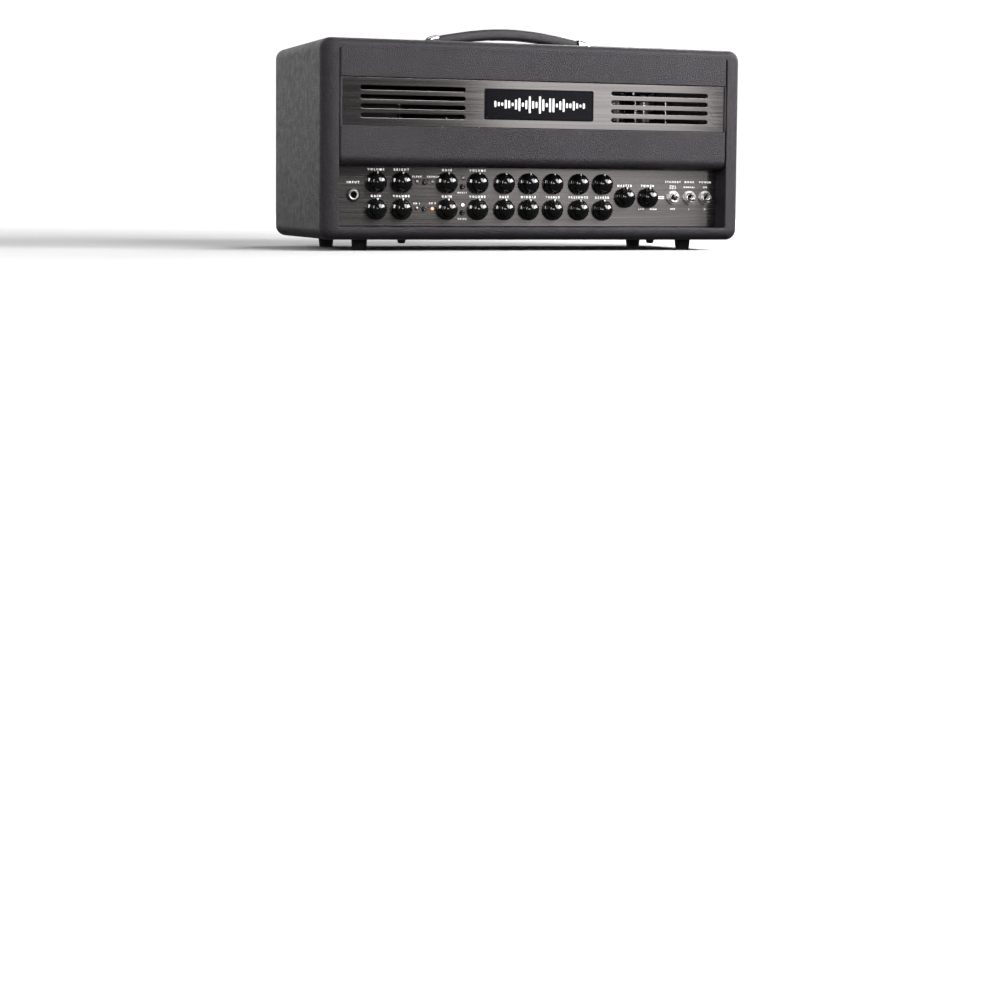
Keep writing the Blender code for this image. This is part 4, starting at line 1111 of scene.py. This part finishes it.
def make_handle_caps():
    """Chrome end caps: a hood over the strap, stepping down to a flange with its screw."""
    low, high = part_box("handle_cap_right")
    length = high.x - CAP_MOUTH
    floor = low.z
    top = high.z - low.z
    stations = mm(
        (0, 0.2, 0), (1.2, 0, 0), (6, 1.1, 0), (10.5, 2.4, 0), (14, 4, 0.2), (15.8, 6, 0.6),
        (16.8, 7.2, 0.8), (19, 7.4, 0.8), (27, 7.8, 1), (34, 8.3, 1.8), (37, 9, 3.4),
    ) + [(length - 0.0003, 0.0104, 0.0062)]
    half = (high.y - low.y) / 2 - 0.0001
    for name, side in (("handle_cap_left", -1), ("handle_cap_right", 1)):
        sections = []
        for shell in (0.0, 0.001):
            rows = []
            for along, drop, narrow in stations:
                wide = half - narrow - shell
                tall = top - drop - shell
                corner = min(0.005, tall * 0.6)
                section = [(-wide, 0.0)]
                for rise, run in quarter(6):
                    section.append((-wide + corner * (1 - run), tall - corner * (1 - rise)))
                section += [(-across, up) for across, up in reversed(section)]
                x = min(along, length - 0.0003 - shell)
                rows.append([(side * (CAP_MOUTH + x), STRAP_Y + a, floor + b) for a, b in section])
            sections.append(rows)
        bm = bmesh.new()
        outside, inside = [
            [[bm.verts.new(point) for point in row] for row in rows] for rows in sections
        ]
        for rows in (outside, inside):
            for row, following in zip(rows, rows[1:]):
                for step in range(len(row) - 1):
                    bm.faces.new((row[step], row[step + 1], following[step + 1], following[step]))
            bm.faces.new(rows[-1])
        for step in range(len(outside[0]) - 1):
            bm.faces.new((outside[0][step], inside[0][step], inside[0][step + 1], outside[0][step + 1]))
        for end in (0, -1):
            for row in range(len(stations) - 1):
                after = row + 1
                bm.faces.new((
                    outside[row][end], outside[after][end], inside[after][end], inside[row][end],
                ))
        bm.faces.new((outside[-1][0], outside[-1][-1], inside[-1][-1], inside[-1][0]))
        piece_of(f"{name}_hood", bm, CHROME, name, sharp=50)
        bm = bmesh.new()
        add_screw(bm, (side * (CAP_MOUTH + 0.0265), STRAP_Y, floor + top - 0.0079), UP, 0.004, 0.0014)
        piece_of(f"{name}_screw", bm, STEEL)


def crease(along, across, seed):
    """Height of the puckers at a place on the strap, from -1 to 1."""
    wave = sin(along * 310 + seed) * sin(along * 97 + 2.1 * seed)
    return wave * (0.4 + 0.6 * cos(across * 60 + seed))


def make_strap():
    """Arched strap, puckered and twice creased underneath, with its tongues in the caps."""
    base = SHELL_HIGH.z
    half_width = 0.011
    bend = 0.62
    shoulder = CAP_MOUTH - 0.001
    count = 72
    around = 28
    sections = []
    for step in range(count + 1):
        along = -shoulder + 2 * shoulder * step / count
        arch = cos(pi / 2 * abs(along) / CAP_MOUTH)
        bottom = base + 0.0014 + 0.0096 * arch
        top = base + 0.0138 + 0.0111 * arch
        middle, tall = (bottom + top) / 2, (top - bottom) / 2
        near_cap = 1 - min((shoulder - abs(along)) / 0.004, 1)
        section = []
        for turn in range(around):
            angle = tau * turn / around
            across = copysign(abs(cos(angle)) ** bend, cos(angle)) * half_width
            up = copysign(abs(sin(angle)) ** bend, sin(angle)) * tall
            low_side = max(-sin(angle), 0)
            pucker = 0.00028 * crease(along, across, 1.3) * (0.25 + 0.75 * low_side)
            fold = 0.00045 * low_side * exp(-((along - 0.012) / 0.0035) ** 2)
            fold += 0.00035 * low_side * exp(-((along + 0.023) / 0.004) ** 2)
            shrink = 1 - 0.05 * near_cap
            up = up * shrink + pucker * sin(angle) + fold
            section.append((along, STRAP_Y + across * shrink * 0.985, middle + up))
        sections.append(section)
    bm = bmesh.new()
    add_capped(bm, sections)
    for side in (-1, 1):
        inner, outer = sorted((side * (shoulder - 0.001), side * TONGUE_END))
        add_box(
            bm, (inner, STRAP_Y - 0.0095, base + 0.0022),
            (outer, STRAP_Y + 0.0095, base + 0.0044), 0.0008,
        )
    piece_of("handle_grip", bm, STRAP_VINYL, "handle_strap", "handle_strap", 70)


# --- carried-over solids
def dress_frame_nodes():
    """Solids that keep their shape get their material and softly broken edges."""
    looks = {"chassis": CHASSIS_PAINT, "control_board": BOARD, "valve_board": BOARD}
    for name, look in looks.items():
        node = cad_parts[name]
        node.data.materials.clear()
        node.data.materials.append(look)
        broken = node.modifiers.new("Broken edges", "BEVEL")
        broken.width = 0.0003
        broken.segments = 2
        broken.limit_method = "ANGLE"
        broken.angle_limit = radians(50)


# --- stage, lights and camera
BACK_GLOW = 0.95
SIDE_GLOW = 0.1


def sweep_section(reach, z, all_round):
    """A ring of the backdrop, which rises all round or only behind and beside the object."""
    ring = []
    for step in range(72):
        angle = tau * step / 72
        rise = 1.0 if all_round else min(max((sin(angle) + 0.6) / 0.3, 0.0), 1.0)
        ring.append((reach * cos(angle), reach * sin(angle), z * rise))
    return ring if reach else [(0.0, 0.0, 0.0)]


def make_stage():
    """A pale floor sweeping up all round for the camera, and walls for reflections."""
    paper = Look("stage_paper", (0.8, 0.8, 0.8), 0.85, Emission_Color=(1.0, 1.0, 1.0, 1.0))
    paper.relief(paper.noise(120.0), 0.0002)
    away = paper.node("VectorMath", Vector=paper.place)
    away.operation = "LENGTH"
    paper.feed(paper.ranged(away.outputs["Value"], 0.0, BACK_GLOW, 0.7, 2.4), "Emission Strength")
    wall = Look("stage_wall", (0.8, 0.8, 0.8), 0.85, Emission_Color=(1.0, 1.0, 1.0, 1.0))
    wall.relief(wall.noise(120.0), 0.0002)
    parts = wall.node("SeparateXYZ", Vector=wall.place)
    behind = wall.ranged(parts.outputs["Y"], 0.0, BACK_GLOW, 0.5, 2.2)
    raised = wall.ranged(parts.outputs["Z"], 0.06, SIDE_GLOW, 0.0, 1.5)
    wall.feed(wall.added(behind, raised), "Emission Strength")
    curve = []
    for rise, run in quarter(10):
        curve.append((3.4 + 1.8 * rise, 1.8 * (1 - run)))
    curve.append((5.2, 5.0))
    for name, look, all_round, profile in (
        ("stage_floor", paper, True, [(0.0, 0.0)] + curve), ("stage_wall", wall, False, curve),
    ):
        bm = bmesh.new()
        loft(bm, [sweep_section(reach, z, all_round) for reach, z in profile])
        mesh = bpy.data.meshes.new(name)
        bm.to_mesh(mesh)
        bm.free()
        mesh.materials.append(look.material)
        mesh.shade_smooth()
        sheet = placed(name, mesh)
        sheet.visible_diffuse = False
        sheet.visible_camera = all_round
        sheet.visible_glossy = not all_round


def add_softbox(name, spot, target, size, power):
    """A rectangular light that the camera doesn't see."""
    data = bpy.data.lights.new(name, "AREA")
    data.shape = "RECTANGLE"
    data.size, data.size_y = size
    data.energy = power
    light = placed(name, data)
    light.location = spot
    direction = Vector(target) - Vector(spot)
    light.rotation_euler = direction.to_track_quat("-Z", "Y").to_euler()
    light.visible_camera = False


def make_lights():
    world = bpy.data.worlds.new("studio")
    world.use_nodes = True
    background = world.node_tree.nodes["Background"]
    background.inputs["Color"].default_value = (1.0, 1.0, 1.0, 1.0)
    background.inputs["Strength"].default_value = 0.09
    bpy.context.scene.world = world
    middle = (0.0, -0.1, 0.14)
    add_softbox("card_front", (0.94, -2.24, 0.55), middle, (0.52, 1.1), 2.9)
    add_softbox("key_front", (0.66, -1.75, 1.4), middle, (1.00, 0.84), 32)
    add_softbox("key_right", (1.32, -0.9, 0.85), middle, (0.9, 0.7), 44)
    add_softbox("fill_left", (-1.2, -0.95, 0.5), middle, (0.24, 0.56), 7.0)
    add_softbox("fill_front", (-0.95, -2.15, 0.42), middle, (0.35, 0.3), 4)
    add_softbox("top", (0.0, -0.2, 2.3), middle, (1.6, 1.2), 6)
    add_softbox("back", (1.7, 1.9, 1.1), (0.0, 0.2, 0.12), (1.4, 1.00), 50)


def make_camera():
    """The eye stands low and to the left, with the frame lowered below the object."""
    right = Vector((0.94390385, -0.33011337, 0.00840723))
    up = Vector((0.01571505, 0.07033602, 0.99739956))
    data = bpy.data.cameras.new("camera")
    data.lens = 72.635
    data.sensor_width = 36.0
    data.shift_y = -0.16
    camera = placed("camera", data)
    turn = camera.matrix_world.copy()
    for row, values in enumerate(zip(right, up, right.cross(up), (-0.83191, -2.332914, 0.069409))):
        for column, value in enumerate(values):
            turn[row][column] = value
    camera.matrix_world = turn
    bpy.context.scene.camera = camera


make_cabinet()
make_front_boards()
make_vent_plate()
make_badge()
make_panel()
make_panel_words()
make_knobs()
make_buttons()
make_lamps()
make_toggles()
make_input_jack()
make_rear_panel()
make_mains_inlet()
make_rear_grille()
for number in range(1, 5):
    make_power_tube(f"power_tube_{number}")
make_valve_retainers()
for number in range(1, 3):
    make_preamp_tube(f"preamp_tube_{number}")
make_transformer("power_supply")
make_transformer("output_transformer")
make_feet()
make_bolts()
make_handle_caps()
make_strap()
dress_frame_nodes()
make_stage()
make_lights()
make_camera()
bpy.context.scene.view_settings.view_transform = "Standard"
